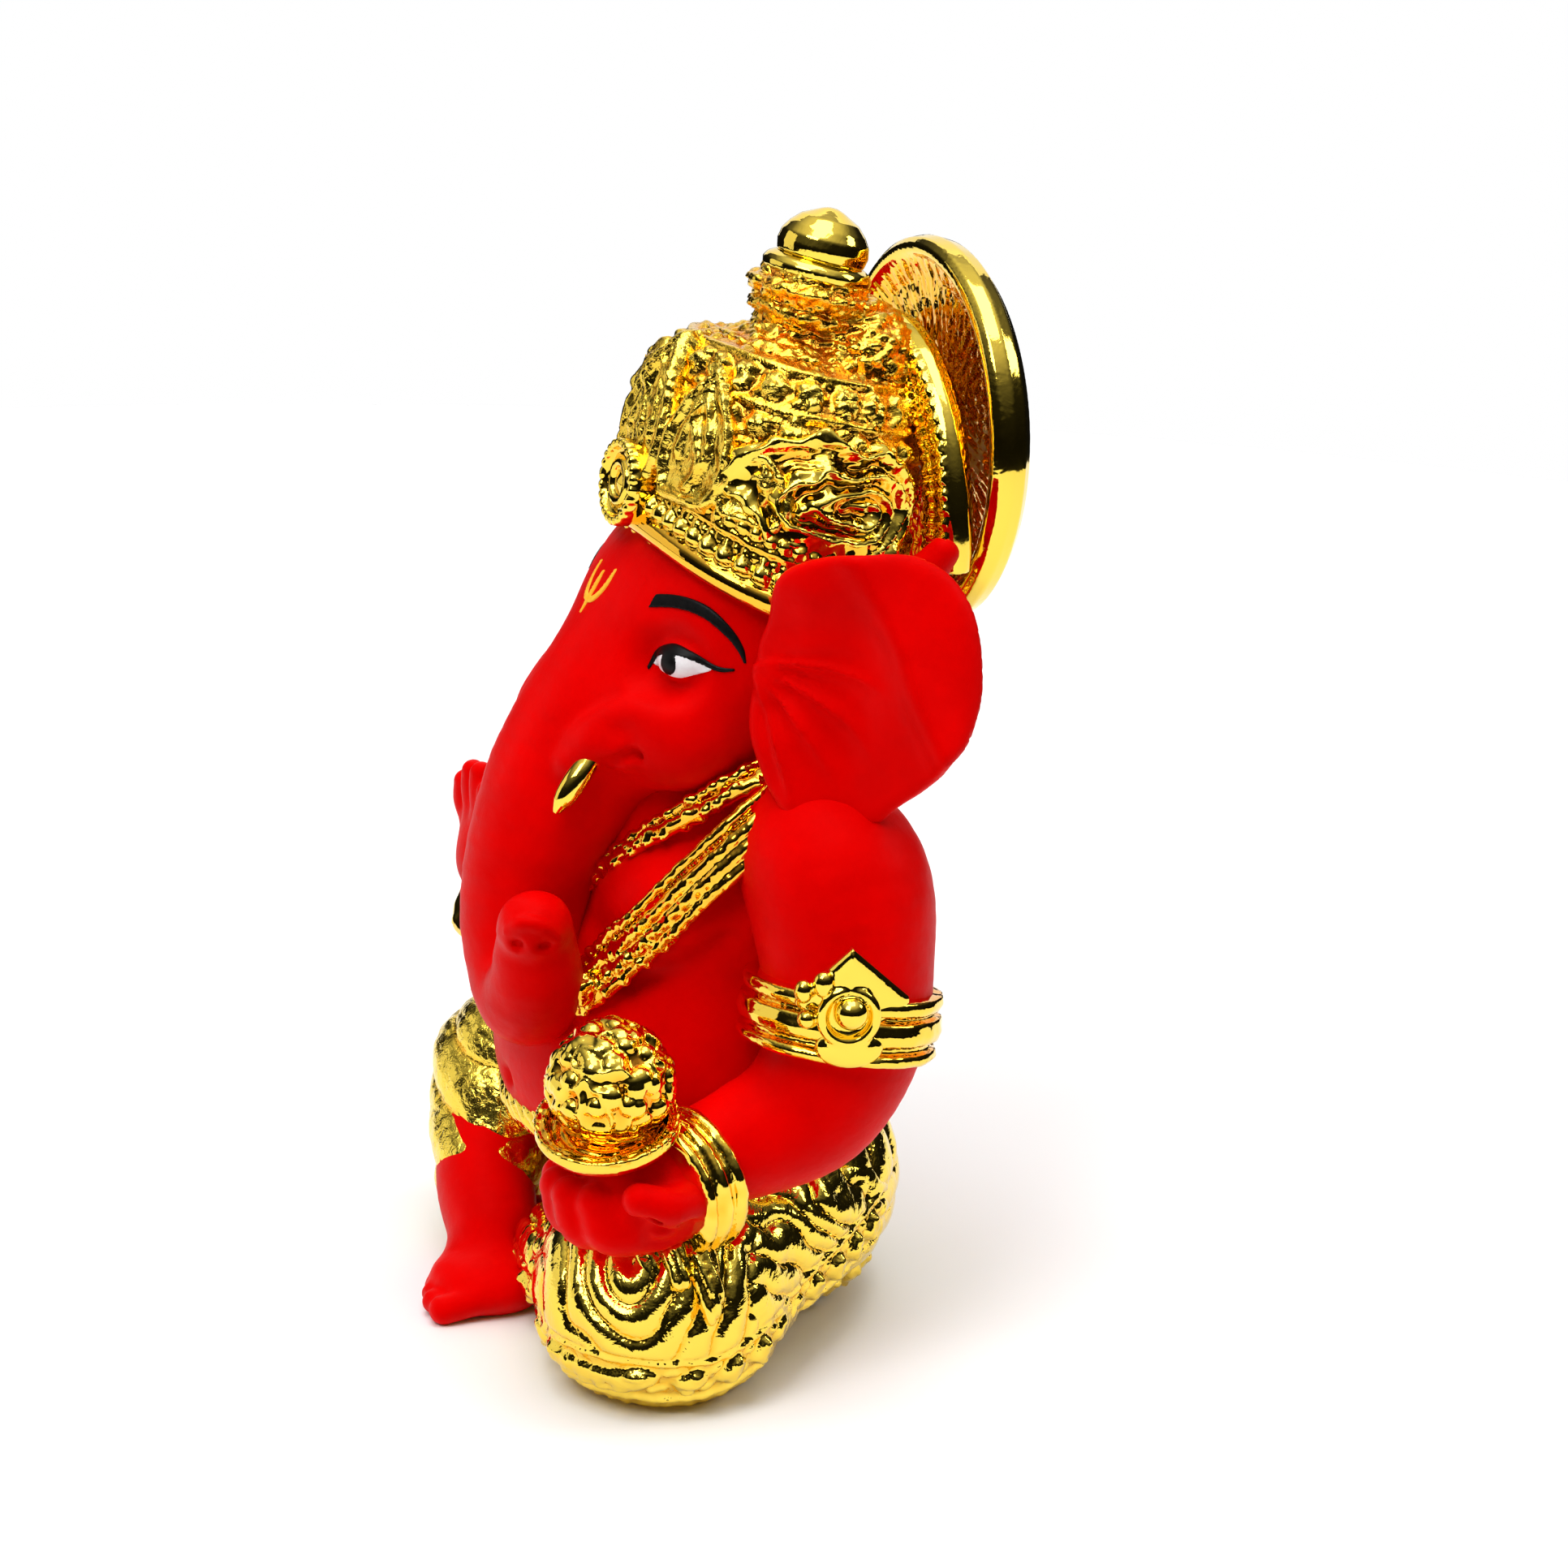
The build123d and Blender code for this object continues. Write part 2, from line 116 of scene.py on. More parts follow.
def join(a, b, k):
    """Smooth union: the seam is a fillet about k wide."""
    h = np.clip(0.5 + 0.5 * (b - a) / k, 0, 1)
    return b * (1 - h) + a * h - k * h * (1 - h)


def carve(a, b, k):
    """Smooth difference: b is taken out of a."""
    return -join(-a, b, k)


def both(a, b, k):
    """Smooth intersection."""
    return -join(-a, -b, k)


def ellipsoid(p, centre, radii, axes=None):
    q = p - centre
    if axes is not None:
        q = q @ np.asarray(axes).T
    radii = np.asarray(radii, dtype=float)
    near = size_of(q / radii)
    slope = size_of(q / (radii * radii))
    return near * (near - 1) / np.maximum(slope, 1e-6)


def span(a, b, c, d, steps):
    """Catmull-Rom points from b up to c."""
    t = np.arange(steps)[:, None] / steps
    return 0.5 * (2 * b + (c - a) * t + (2 * a - 5 * b + 4 * c - d) * t * t
                  + (3 * b - a - 3 * c + d) * t ** 3)


def spline(points, steps=6):
    """Smooth line through a list of rows; every column is smoothed, radii included."""
    rows = np.asarray(points, dtype=float)
    padded = np.vstack([2 * rows[0] - rows[1], rows, 2 * rows[-1] - rows[-2]])
    return np.vstack([span(*padded[i:i + 4], steps) for i in range(len(rows) - 1)] + [rows[-1]])


def closed_spline(points, steps):
    """Smooth closed outline through a list of rows."""
    rows = np.asarray(points, dtype=float)
    rolled = [np.roll(rows, shift, axis=0) for shift in (1, 0, -1, -2)]
    return np.vstack([span(a, b, c, d, steps) for a, b, c, d in zip(*rolled)])


def tube(p, route):
    """Round tube along a route of (x, y, z, radius) rows."""
    best = np.full(len(p), 1e3)
    for a, b in zip(route[:-1], route[1:]):
        run = b[:3] - a[:3]
        t = np.clip((p - a[:3]) @ run / max(run @ run, 1e-9), 0, 1)
        gap = p - a[:3] - t[:, None] * run
        best = np.minimum(best, size_of(gap) - (a[3] + (b[3] - a[3]) * t))
    return best


def limb(p, stations, steps=6):
    """Round limb, smooth through (x, y, z, radius) stations."""
    return tube(p, spline(stations, steps))


class Axis:
    """Axis of a turned piece: gives each point's height along it and distance from it."""

    def __init__(self, origin, direction, across=(1, 0, 0)):
        self.origin = np.asarray(origin, dtype=float)
        self.up = unit(direction)
        across = np.asarray(across, dtype=float)
        self.x = unit(across - self.up * (across @ self.up))
        self.y = np.cross(self.up, self.x)

    def local(self, p):
        q = p - self.origin
        return q @ self.x, q @ self.y, q @ self.up

    def world(self, x, y, height):
        return self.origin + self.x * x + self.y * y + self.up * height

    def frame(self):
        return np.array([self.x, self.y, self.up])


def polygon(x, y, corners):
    """Signed distance in a plane to a closed outline."""
    corners = np.asarray(corners, dtype=float)
    best = np.full(len(x), 1e9)
    inside = np.zeros(len(x), dtype=bool)
    for (ax, ay), (bx, by) in zip(corners, np.roll(corners, -1, axis=0)):
        ex, ey = bx - ax, by - ay
        wx, wy = x - ax, y - ay
        t = np.clip((wx * ex + wy * ey) / max(ex * ex + ey * ey, 1e-12), 0, 1)
        best = np.minimum(best, (wx - ex * t) ** 2 + (wy - ey * t) ** 2)
        crosses = (ay > y) != (by > y)
        if ay != by:
            inside ^= crosses & (x < ax + (y - ay) * ex / ey)
    gap = np.sqrt(best)
    return np.where(inside, -gap, gap)


def turned(p, axis, outline):
    """Field of a turned piece from its closed (radius, height) outline."""
    x, y, height = axis.local(p)
    return polygon(np.hypot(x, y), height, outline)


# ======== noise, for relief
def lattice(ix, iy, iz, salt):
    """Repeatable random number from 0 to 1 at each lattice point."""
    n = (ix * 73856093) ^ (iy * 19349663) ^ (iz * 83492791) ^ (salt * 2654435761)
    n = (n ^ (n >> 13)) * 1274126177
    n = n ^ (n >> 16)
    return (n & 0xFFFFFF) / float(0xFFFFFF)


CORNERS = list(itertools.product((0, 1), repeat=3))


def noise(p, scale, salt=0):
    """Smooth value noise from -1 to 1; scale is the size of a lump in mm."""
    q = p / scale
    base = np.floor(q).astype(np.int64)
    f = q - base
    f = f * f * (3 - 2 * f)
    total = 0
    for dx, dy, dz in CORNERS:
        weight = ((f[:, 0] if dx else 1 - f[:, 0]) * (f[:, 1] if dy else 1 - f[:, 1])
                  * (f[:, 2] if dz else 1 - f[:, 2]))
        total = total + weight * lattice(base[:, 0] + dx, base[:, 1] + dy, base[:, 2] + dz, salt)
    return 2 * total - 1


def cells(p, scale, salt=0):
    """Distance, in mm, to the nearest of scattered points scale mm apart."""
    q = p / scale
    base = np.floor(q).astype(np.int64)
    near = np.full(len(p), 1e9)
    for shift in itertools.product((-1, 0, 1), repeat=3):
        cell = base + np.array(shift)
        gap = np.zeros(len(p))
        for axis in range(3):
            jitter = lattice(cell[:, 0], cell[:, 1], cell[:, 2], salt + 1 + axis)
            gap = gap + (cell[:, axis] + jitter - q[:, axis]) ** 2
        near = np.minimum(near, np.sqrt(gap))
    return near * scale


def knobs_at(p, scale, salt, radius):
    """Round knobs from 0 to 1 on scattered points."""
    return np.clip(1 - (cells(p, scale, salt) / radius) ** 2, 0, 1)


def ridge(x):
    """Sharp-crested wave from 0 to 1, once every unit of x."""
    return 1 - np.abs(2 * (x - np.floor(x)) - 1)


def step_up(x, low_edge, high_edge):
    t = np.clip((x - low_edge) / (high_edge - low_edge), 0, 1)
    return t * t * (3 - 2 * t)


# ======== from field to mesh
def gradient(field, p, reach):
    """Outward normal of the field by four samples."""
    total = np.zeros_like(p)
    for corner in ((1, 1, 1), (1, -1, -1), (-1, 1, -1), (-1, -1, 1)):
        corner = np.array(corner, dtype=float)
        total += corner * field(p + corner * reach)[:, None]
    total /= 4 * reach
    return total


BATCH = 400000


def block_at(corner, shape):
    """The part of a larger grid that has this shape and starts at this corner."""
    return tuple(slice(start, start + size) for start, size in zip(corner, shape))


def grid_values(field, lo, counts, step, block=4):
    """Field at every grid point near the surface; far points get only their sign."""
    coarse_counts = [int(math.ceil((n - 1) / block)) for n in counts]
    counts = [n * block + 1 for n in coarse_counts]
    centres = np.stack(np.meshgrid(*[
        lo[i] + (np.arange(coarse_counts[i]) + 0.5) * block * step for i in range(3)
    ], indexing="ij"), -1).reshape(-1, 3)
    rough = field(centres)
    near = np.abs(rough) < block * step * 1.25
    cube = np.ones((block,) * 3)
    values = np.kron(np.where(rough < 0, -9.0, 9.0).reshape(coarse_counts), cube)
    values = np.pad(values, ((0, 1),) * 3, mode="edge").astype(np.float32)
    wanted = np.zeros(counts, dtype=bool)
    spread = np.kron(near.reshape(coarse_counts), cube) > 0
    for corner in CORNERS:
        wanted[block_at(corner, spread.shape)] |= spread
    index = np.argwhere(wanted)
    found = np.empty(len(index))
    for start in range(0, len(index), BATCH):
        found[start:start + BATCH] = field(lo + index[start:start + BATCH] * step)
    values[wanted] = found
    return values


def surface(field, lo, hi, step):
    """Surface net of a field inside a box: vertices and quads."""
    lo = np.asarray(lo, dtype=float) - 2 * step
    hi = np.asarray(hi, dtype=float) + 2 * step
    values = grid_values(field, lo, [int(math.ceil(n)) + 2 for n in (hi - lo) / step], step)
    inside = values < 0
    corner_sum = np.zeros([n - 1 for n in inside.shape], dtype=np.int8)
    for corner in CORNERS:
        corner_sum += inside[block_at(corner, corner_sum.shape)]
    cell = np.argwhere((corner_sum > 0) & (corner_sum < 8))
    number = np.full(corner_sum.shape, -1, dtype=np.int64)
    number[cell[:, 0], cell[:, 1], cell[:, 2]] = np.arange(len(cell))
    total = np.zeros((len(cell), 3))
    weight = np.zeros(len(cell))
    for a in CORNERS:
        for axis in range(3):
            if a[axis]:
                continue
            b = list(a)
            b[axis] = 1
            va = values[cell[:, 0] + a[0], cell[:, 1] + a[1], cell[:, 2] + a[2]]
            vb = values[cell[:, 0] + b[0], cell[:, 1] + b[1], cell[:, 2] + b[2]]
            cut = (va < 0) != (vb < 0)
            t = np.where(cut, va / np.where(cut, va - vb, 1), 0)
            spot = np.tile(np.array(a, dtype=float), (len(cell), 1))
            spot[:, axis] = t
            total += spot * cut[:, None]
            weight += cut
    vertices = lo + (cell + total / weight[:, None]) * step
    quads = []
    for axis in range(3):
        u, v = (axis + 1) % 3, (axis + 2) % 3
        head = [slice(1, -1)] * 3
        tail = [slice(1, -1)] * 3
        head[axis] = slice(0, -1)
        tail[axis] = slice(1, None)
        first, last = inside[tuple(head)], inside[tuple(tail)]
        for flag, order in ((first & ~last, (0, 1, 2, 3)), (~first & last, (3, 2, 1, 0))):
            edge = np.argwhere(flag)
            shift = np.ones(3, dtype=np.int64)
            shift[axis] = 0
            edge = edge + shift
            ring = []
            for du, dv in ((-1, -1), (0, -1), (0, 0), (-1, 0)):
                c = edge.copy()
                c[:, u] += du
                c[:, v] += dv
                ring.append(number[c[:, 0], c[:, 1], c[:, 2]])
            quads.append(np.stack([ring[i] for i in order], -1))
    return vertices, np.vstack(quads)


def relax(vertices, quads):
    """Pull each vertex halfway towards its neighbours' mean."""
    total = np.zeros_like(vertices)
    count = np.zeros(len(vertices))
    for i in range(4):
        a, b = quads[:, i], quads[:, (i + 1) % 4]
        np.add.at(total, a, vertices[b])
        np.add.at(total, b, vertices[a])
        np.add.at(count, a, 1)
        np.add.at(count, b, 1)
    return 0.5 * vertices + 0.5 * total / np.maximum(count, 1)[:, None]


def sculpt(name, field, lo, hi, step, material, relief=None, tone=None, replaces=None):
    """Mesh a field, raise its relief along the normals, and hang it on the frame.

    relief(p, n) gives the height of the surface detail in mm, and tone(p, n, height) a 0 to 1 value
    that the material reads as the attribute "tone".
    """
    step = step * COARSE
    vertices, quads = surface(field, lo, hi, step)
    for smoothed in (True, True, False):
        if smoothed:
            vertices = relax(vertices, quads)
        slope = gradient(field, vertices, 0.35 * step)
        steep = np.maximum((slope * slope).sum(-1), 0.05)
        move = np.clip(field(vertices) / steep, -step, step)
        vertices = vertices - slope * move[:, None]
    slope = gradient(field, vertices, 0.5 * step)
    normals = slope / np.maximum(size_of(slope), 1e-6)[:, None]
    height = np.zeros(len(vertices))
    if relief is not None:
        height = relief(vertices, normals)
        vertices = vertices + normals * height[:, None]
    vertices[:, 2] = np.maximum(vertices[:, 2], 0.0)
    # on the gold pieces the tone values are painted shade: low values darken them to orange, high values make
    # them pale
    shade = tone(vertices, normals, height) if tone is not None else np.ones(len(vertices))
    mesh = bpy.data.meshes.new(name)
    mesh.from_pydata((vertices * MM).tolist(), [], quads.tolist())
    mesh.validate()
    mesh.shade_smooth()
    layer = mesh.attributes.new("tone", "FLOAT", "POINT")
    layer.data.foreach_set("value", np.asarray(shade, dtype=np.float32))
    mesh.materials.append(material)
    piece = bpy.data.objects.new(name, mesh)
    bpy.context.scene.collection.objects.link(piece)
    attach(piece, "root")
    if replaces:
        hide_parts(replaces)


def sculpt_node(node, suffix, field, below, above, step, material, **look):
    """Sculpt a piece that stands for a node, inside the node's box grown by below and above."""
    sculpt(node + suffix, field, low(node) - below, high(node) + above, step, material,
           replaces=node, **look)


# ======== materials
def add_node(tree, kind, inputs=()):
    """New node; each of its inputs is linked from a socket or set to a plain value."""
    node = tree.nodes.new("ShaderNode" + kind)
    for name, value in dict(inputs).items():
        if isinstance(value, bpy.types.NodeSocket):
            tree.links.new(value, node.inputs[name])
        else:
            node.inputs[name].default_value = value
    return node


def noise_node(tree, at_mm, scale, detail, distortion=0.0):
    inputs = {"Vector": at_mm, "Scale": scale, "Detail": detail, "Distortion": distortion}
    return add_node(tree, "TexNoise", inputs).outputs["Fac"]


def ramp_node(tree, value, *stops):
    """Ramp through stops, each a place and a colour or a grey level."""
    node = add_node(tree, "ValToRGB", {0: value})
    while len(node.color_ramp.elements) < len(stops):
        node.color_ramp.elements.new(0.5)
    for element, (place, colour) in zip(node.color_ramp.elements, stops):
        element.position = place
        element.color = (*np.broadcast_to(colour, 3), 1)
    return node.outputs[0]


def bump_node(tree, height, strength, distance, below=None):
    inputs = {"Height": height, "Strength": strength, "Distance": distance * MM}
    if below is not None:
        inputs["Normal"] = below
    return add_node(tree, "Bump", inputs).outputs[0]


def new_material(name, finish):
    """Material whose shader inputs are what finish gives for its node tree and its place in mm."""
    material = bpy.data.materials.new(name)
    material.use_nodes = True
    tree = material.node_tree
    tree.nodes.clear()
    where = add_node(tree, "TexCoord")
    at_mm = add_node(tree, "Mapping", {"Vector": where.outputs["Object"], "Scale": (1 / MM,) * 3}).outputs[0]
    shader = add_node(tree, "BsdfPrincipled", finish(tree, at_mm))
    add_node(tree, "OutputMaterial", {"Surface": shader.outputs[0]})
    return material


# gold colours picked by the tone attribute: painted shade, deep orange in the recesses, pale on the crests
GOLD_DEEP = (0.90, 0.35, 0.03)
GOLD_BRIGHT = (0.90, 0.53, 0.045)
GOLD_PALE = (0.90, 0.64, 0.08)


def plating(crinkle, crinkle_size, rough_low, rough_high):
    """Bright plating with cast-in ripples, coloured with painted shade: warm orange in the recesses, paler on
    the crests.
    """
    def finish(tree, at_mm):
        tone = add_node(tree, "Attribute")
        tone.attribute_name = "tone"
        cloud = noise_node(tree, at_mm, 0.35, 4.0)
        ripple = noise_node(tree, at_mm, 1.0 / crinkle_size, 3.0, 0.6)
        fine = noise_node(tree, at_mm, 4.0 / crinkle_size, 2.0)
        first = bump_node(tree, ripple, 1.0, crinkle)
        return {
            # painted shade: low tone turns the gold deep orange in the hollows, high tone pale on the crests
            "Base Color": ramp_node(tree, tone.outputs["Fac"],
                                    (0.0, GOLD_DEEP), (0.45, GOLD_BRIGHT), (1.0, GOLD_PALE)),
            "Metallic": 1.0,
            "Roughness": ramp_node(tree, cloud, (0.3, rough_low), (0.7, rough_high)),
            "Normal": bump_node(tree, fine, 1.0, crinkle * 0.12, first),
        }
    return finish


def red_paint(tree, at_mm):
    """Matte red paint over a hand-smoothed casting."""
    cloud = noise_node(tree, at_mm, 0.16, 3.0)
    grain = noise_node(tree, at_mm, 9.0, 4.0)
    hand = noise_node(tree, at_mm, 0.7, 3.0)
    return {
        "Base Color": ramp_node(tree, cloud, (0.30, (0.61, 0.0, 0.0)), (0.70, (0.76, 0.0, 0.0))),
        "Roughness": ramp_node(tree, grain, (0.2, 0.42), (0.8, 0.54)),
        "Specular IOR Level": 0.10,
        "Specular Tint": (1.0, 0.03, 0.02, 1),
        "Normal": bump_node(tree, grain, 0.6, 0.012, bump_node(tree, hand, 0.7, 0.12)),
    }


def brushed_paint(colour, other):
    """Brushed paint line: a slight streak and a soft gloss."""
    def finish(tree, at_mm):
        streak = noise_node(tree, at_mm, 3.0, 3.0)
        return {
            "Base Color": ramp_node(tree, streak, (0.3, colour), (0.7, other)),
            "Roughness": ramp_node(tree, streak, (0.3, 0.35), (0.7, 0.47)),
            "Specular IOR Level": 0.12,
            "Normal": bump_node(tree, streak, 0.5, 0.02),
        }
    return finish


def bare_resin(tree, at_mm):
    cloud = noise_node(tree, at_mm, 0.6, 4.0)
    return {
        "Base Color": ramp_node(tree, cloud, (0.3, (0.62, 0.56, 0.46)), (0.7, (0.72, 0.66, 0.56))),
        "Roughness": ramp_node(tree, cloud, (0.3, 0.45), (0.7, 0.6)),
        "Normal": bump_node(tree, cloud, 0.5, 0.05),
    }


def base_felt(tree, at_mm):
    fibre = noise_node(tree, at_mm, 4.0, 6.0, 2.0)
    return {
        "Base Color": ramp_node(tree, fibre, (0.3, (0.05, 0.05, 0.055)), (0.7, (0.12, 0.12, 0.13))),
        "Roughness": 0.95,
        "Sheen Weight": 0.4,
        "Normal": bump_node(tree, fibre, 1.0, 0.15),
    }


GOLD_SMOOTH = new_material("gold_polished", plating(0.05, 2.2, 0.04, 0.09))
GOLD_FOLDS = new_material("gold_folds", plating(0.16, 1.5, 0.04, 0.10))
GOLD_GRAIN = new_material("gold_grain", plating(0.14, 0.7, 0.10, 0.22))
RED = new_material("red_paint", red_paint)
BLACK = new_material("black_line", brushed_paint((0.002, 0.002, 0.002), (0.004, 0.003, 0.003)))
WHITE = new_material("white_eye", brushed_paint((0.80, 0.74, 0.76), (0.86, 0.84, 0.84)))
YELLOW = new_material("yellow_mark", brushed_paint((0.95, 0.42, 0.02), (0.98, 0.55, 0.05)))
RESIN = new_material("bare_resin", bare_resin)
FELT = new_material("base_felt", base_felt)


# ======== torso and arms
def torso_field(p):
    body = ellipsoid(p, vec(0, -2.6, 21.0), (14.8, 14.2, 12.5))
    body = join(body, ellipsoid(p, vec(0, -0.6, 34.0), (15.2, 10.6, 12.0)), 5.0)
    body = join(body, ellipsoid(p, vec(0, 0.6, 42.5), (11.5, 7.6, 6.5)), 4.0)
    for side in (-1, 1):
        body = join(body, ellipsoid(p, vec(side * 7.0, -6.0, 34.4), (6.8, 5.4, 5.2)), 1.4)
        body = carve(body, limb(p, [
            (side * 3.0, -11.6, 29.9, 0.2), (side * 8.0, -10.9, 28.9, 0.4), (side * 12.4, -7.8, 30.6, 0.45),
            (side * 14.4, -4.6, 33.4, 0.3),
        ]), 1.1)
        body = carve(body, limb(p, [
            (side * 6.5, -14.4, 25.2, 0.15), (side * 10.6, -12.0, 24.4, 0.35), (side * 14.2, -7.6, 25.8, 0.3),
        ]), 1.0)
    return carve(body, ellipsoid(p, vec(0, -16.9, 18.5), (0.9, 1.2, 0.9)), 0.8)


SHOULDER_LEFT = [
    (13.0, 1.6, 41.0, 5.6), (17.4, 2.6, 38.2, 6.9), (19.8, 2.7, 33.0, 6.4), (20.8, 2.4, 27.5, 5.8),
    (20.8, 0.0, 22.6, 5.2), (20.6, -4.4, 20.2, 4.4), (20.4, -8.6, 19.0, 3.6),
]
SHOULDER_RIGHT = [
    (-13.0, 1.6, 41.0, 5.6), (-17.4, 2.6, 38.2, 6.9), (-19.8, 2.7, 33.0, 6.4), (-20.8, 2.0, 27.5, 5.7),
    (-21.0, -1.6, 23.6, 4.9), (-20.8, -6.0, 23.8, 4.2), (-20.6, -9.0, 26.2, 3.3),
]


def arm_left_field(p):
    arm = limb(p, SHOULDER_LEFT)
    crease = limb(p, [(14.6, -4.6, 29.6, 0.4), (17.0, -4.6, 26.6, 0.6), (18.4, -5.0, 24.2, 0.3)])
    return carve(arm, crease, 0.8)


def arm_right_field(p):
    return limb(p, SHOULDER_RIGHT)


sculpt("torso_skin", torso_field, (-16, -18, 11), (16, 12, 49), 0.5, RED, replaces="torso")
sculpt_node("arm_left", "_skin", arm_left_field, 2, 2, 0.4, RED)
sculpt_node("arm_right", "_skin", arm_right_field, 2, 2, 0.4, RED)


# ======== head
TRUNK = [
    (0, 0.8, 58.8, 6.8), (0, -3.2, 54.0, 7.2), (0, -7.9, 48.0, 7.0), (0, -11.8, 43.0, 6.2),
    (0, -14.3, 37.6, 5.4), (0.2, -15.6, 32.5, 4.8), (1.5, -16.0, 28.6, 4.3), (4.3, -16.4, 26.8, 3.9),
    (6.9, -16.8, 29.0, 3.5), (7.8, -17.2, 31.6, 3.1), (8.2, -17.4, 33.4, 2.7),
]
NOSE_TIP = Axis((9.0, -17.8, 33.8), (0.88, -0.42, 0.08), (0.42, 0.88, 0))


def head_field(p):
    head = ellipsoid(p, vec(0, 0.2, 53.2), (13.0, 10.6, 11.0))
    head = join(head, ellipsoid(p, vec(0, 0.6, 47.4), (10.2, 8.2, 5.0)), 2.5)
    for side in (-1, 1):
        head = join(head, ellipsoid(p, vec(side * 6.8, -6.0, 48.0), (5.6, 5.4, 5.0)), 2.5)
        head = join(head, ellipsoid(p, vec(side * 5.8, -2.3, 56.2), (4.8, 4.0, 3.8)), 2.4)
    head = join(head, limb(p, TRUNK), 2.4)
    for side in (-1, 1):
        head = carve(head, ellipsoid(p, vec(side * 9.7, -8.9, 53.4), (3.4, 3.0, 2.6)), 1.6)
        head = join(head, ellipsoid(p, vec(side * 8.2, -6.2, 53.3), (2.2, 2.1, 1.6)), 0.8)
        loop = limb(p, [
            (side * 4.8, -13.4, 46.8, 0.7), (side * 6.8, -11.8, 48.7, 0.95), (side * 8.5, -9.8, 49.3, 0.85),
            (side * 9.6, -8.2, 48.0, 0.7), (side * 10.0, -7.4, 45.8, 0.5),
        ])
        head = join(head, loop, 0.9)
        socket = limb(p, [
            (side * 5.4, -13.8, 45.2, 1.2), (side * 6.6, -12.2, 46.9, 1.6), (side * 8.0, -10.8, 46.6, 1.4),
        ])
        head = join(head, socket, 1.0)
        head = carve(head, limb(p, [
            (side * 7.9, -13.0, 44.8, 0.25), (side * 9.2, -10.6, 46.8, 0.35), (side * 9.6, -9.0, 46.0, 0.2),
        ]), 0.7)
    head = join(head, ellipsoid(p, NOSE_TIP.origin, (2.8, 2.6, 2.9), NOSE_TIP.frame()), 0.5)
    for side in (-1, 1):
        head = join(head, limb(p, [
            (side * 9.5, 7.5, 56.5, 2.4), (side * 12.0, 10.6, 59.6, 1.6), (side * 12.8, 12.0, 61.6, 1.2),
        ], 3), 0.8)
    lip = limb(p, [
        (*NOSE_TIP.world(-1.7, 0.2, 2.1), 0.4), (*NOSE_TIP.world(-0.6, 0.9, 2.7), 0.55),
        (*NOSE_TIP.world(0.8, 0.8, 2.7), 0.5), (*NOSE_TIP.world(1.8, -0.1, 2.0), 0.35),
    ])
    head = join(head, lip, 0.4)
    for across in (-1.05, 1.05):
        spot = NOSE_TIP.world(across, -0.75, 2.7)
        head = carve(head, ellipsoid(p, spot, (0.6, 0.45, 1.0), NOSE_TIP.frame()), 0.4)
    return head


def head_relief(p, n):
    """Shallow wrinkles across the trunk, and a faint unevenness all over."""
    on_trunk = step_up(-p[:, 1], 12.0, 16.0) * step_up(-p[:, 2], -46.0, -40.0)
    wave = ridge(p[:, 2] / 2.3 + 0.25 * noise(p, 3.0)) ** 2
    return 0.05 * wave * on_trunk + 0.05 * noise(p, 2.6, 5)


sculpt("head_skin", head_field, (-15, -23, 22), (15, 13, 66), 0.40, RED, relief=head_relief,
       replaces="head")


# ======== painted eyes, brows and forehead mark
def stroke(u, v, stations):
    """Distance in the plane to a brushed line of (u, v, half width) stations."""
    flat = np.stack([u, v, np.zeros_like(u)], -1)
    return limb(flat, [(a, b, 0.0, r) for a, b, r in stations], 5)


PAINT_STEP = 0.13


def painted(name, axis, mark, lo, hi, lift, material):
    """A thin coat of paint over the head wherever mark(u, v) is negative."""
    def field(p):
        u, v, w = axis.local(p)
        skin = head_field(p)
        return both(np.maximum(mark(u, v), -w - 4.0), np.maximum(skin - lift, -skin - 0.25), 0.04)
    sculpt(name, field, lo, hi, PAINT_STEP, material)


ALMOND = closed_spline([
    (-2.5, -0.5), (-1.5, 0.5), (-0.2, 0.9), (1.2, 0.5), (2.6, -0.1), (1.2, -0.7), (0.0, -1.05), (-1.3, -0.8),
], 4)
LID = [
    (-2.7, -0.9, 0.12), (-2.0, 0.35, 0.24), (-0.6, 1.0, 0.32), (0.9, 0.75, 0.27), (2.4, 0.15, 0.2),
    (3.4, -0.05, 0.17), (4.2, 0.0, 0.1),
]
BROW = [
    (-6.3, 2.5, 0.2), (-5.2, 3.3, 0.36), (-3.0, 4.05, 0.44), (-0.4, 4.4, 0.44), (1.8, 4.0, 0.42),
    (3.6, 2.8, 0.34), (4.6, 1.6, 0.24), (5.0, 0.6, 0.1),
]
IRIS_CENTRE = (-0.7, 0.0)
EYE_LO, EYE_HI = vec(6.5, -12.5, 51), vec(15, -1.5, 60.5)


def iris(u, v):
    return np.hypot((u - IRIS_CENTRE[0]) * 1.15, (v - IRIS_CENTRE[1]) * 0.85) - 0.78


def mirrored_box(lo, hi, side):
    """The same box on the given side of the figure."""
    if side > 0:
        return lo, hi
    return (-hi[0], lo[1], lo[2]), (-lo[0], hi[1], hi[2])


for side, word in SIDES:
    # seen along this axis, v grows upwards on the left and downwards on the right
    eye = Axis((side * 9.6, -7.5, 53.4), (side * 0.80, -0.60, 0.05), (side * 0.60, 0.80, 0))
    lo, hi = mirrored_box(EYE_LO, EYE_HI, side)
    painted("eye_white_" + word, eye, lambda u, v: polygon(u, v * side, ALMOND), lo, hi, 0.07, WHITE)
    painted("eye_lines_" + word, eye, lambda u, v: np.minimum(
        stroke(u, v * side, LID), np.maximum(iris(u, v * side), polygon(u, v * side, ALMOND) - 0.1)),
            lo, hi, 0.12, BLACK)
    painted("brow_" + word, eye, lambda u, v: stroke(u, v * side, BROW), lo, hi, 0.13, BLACK)

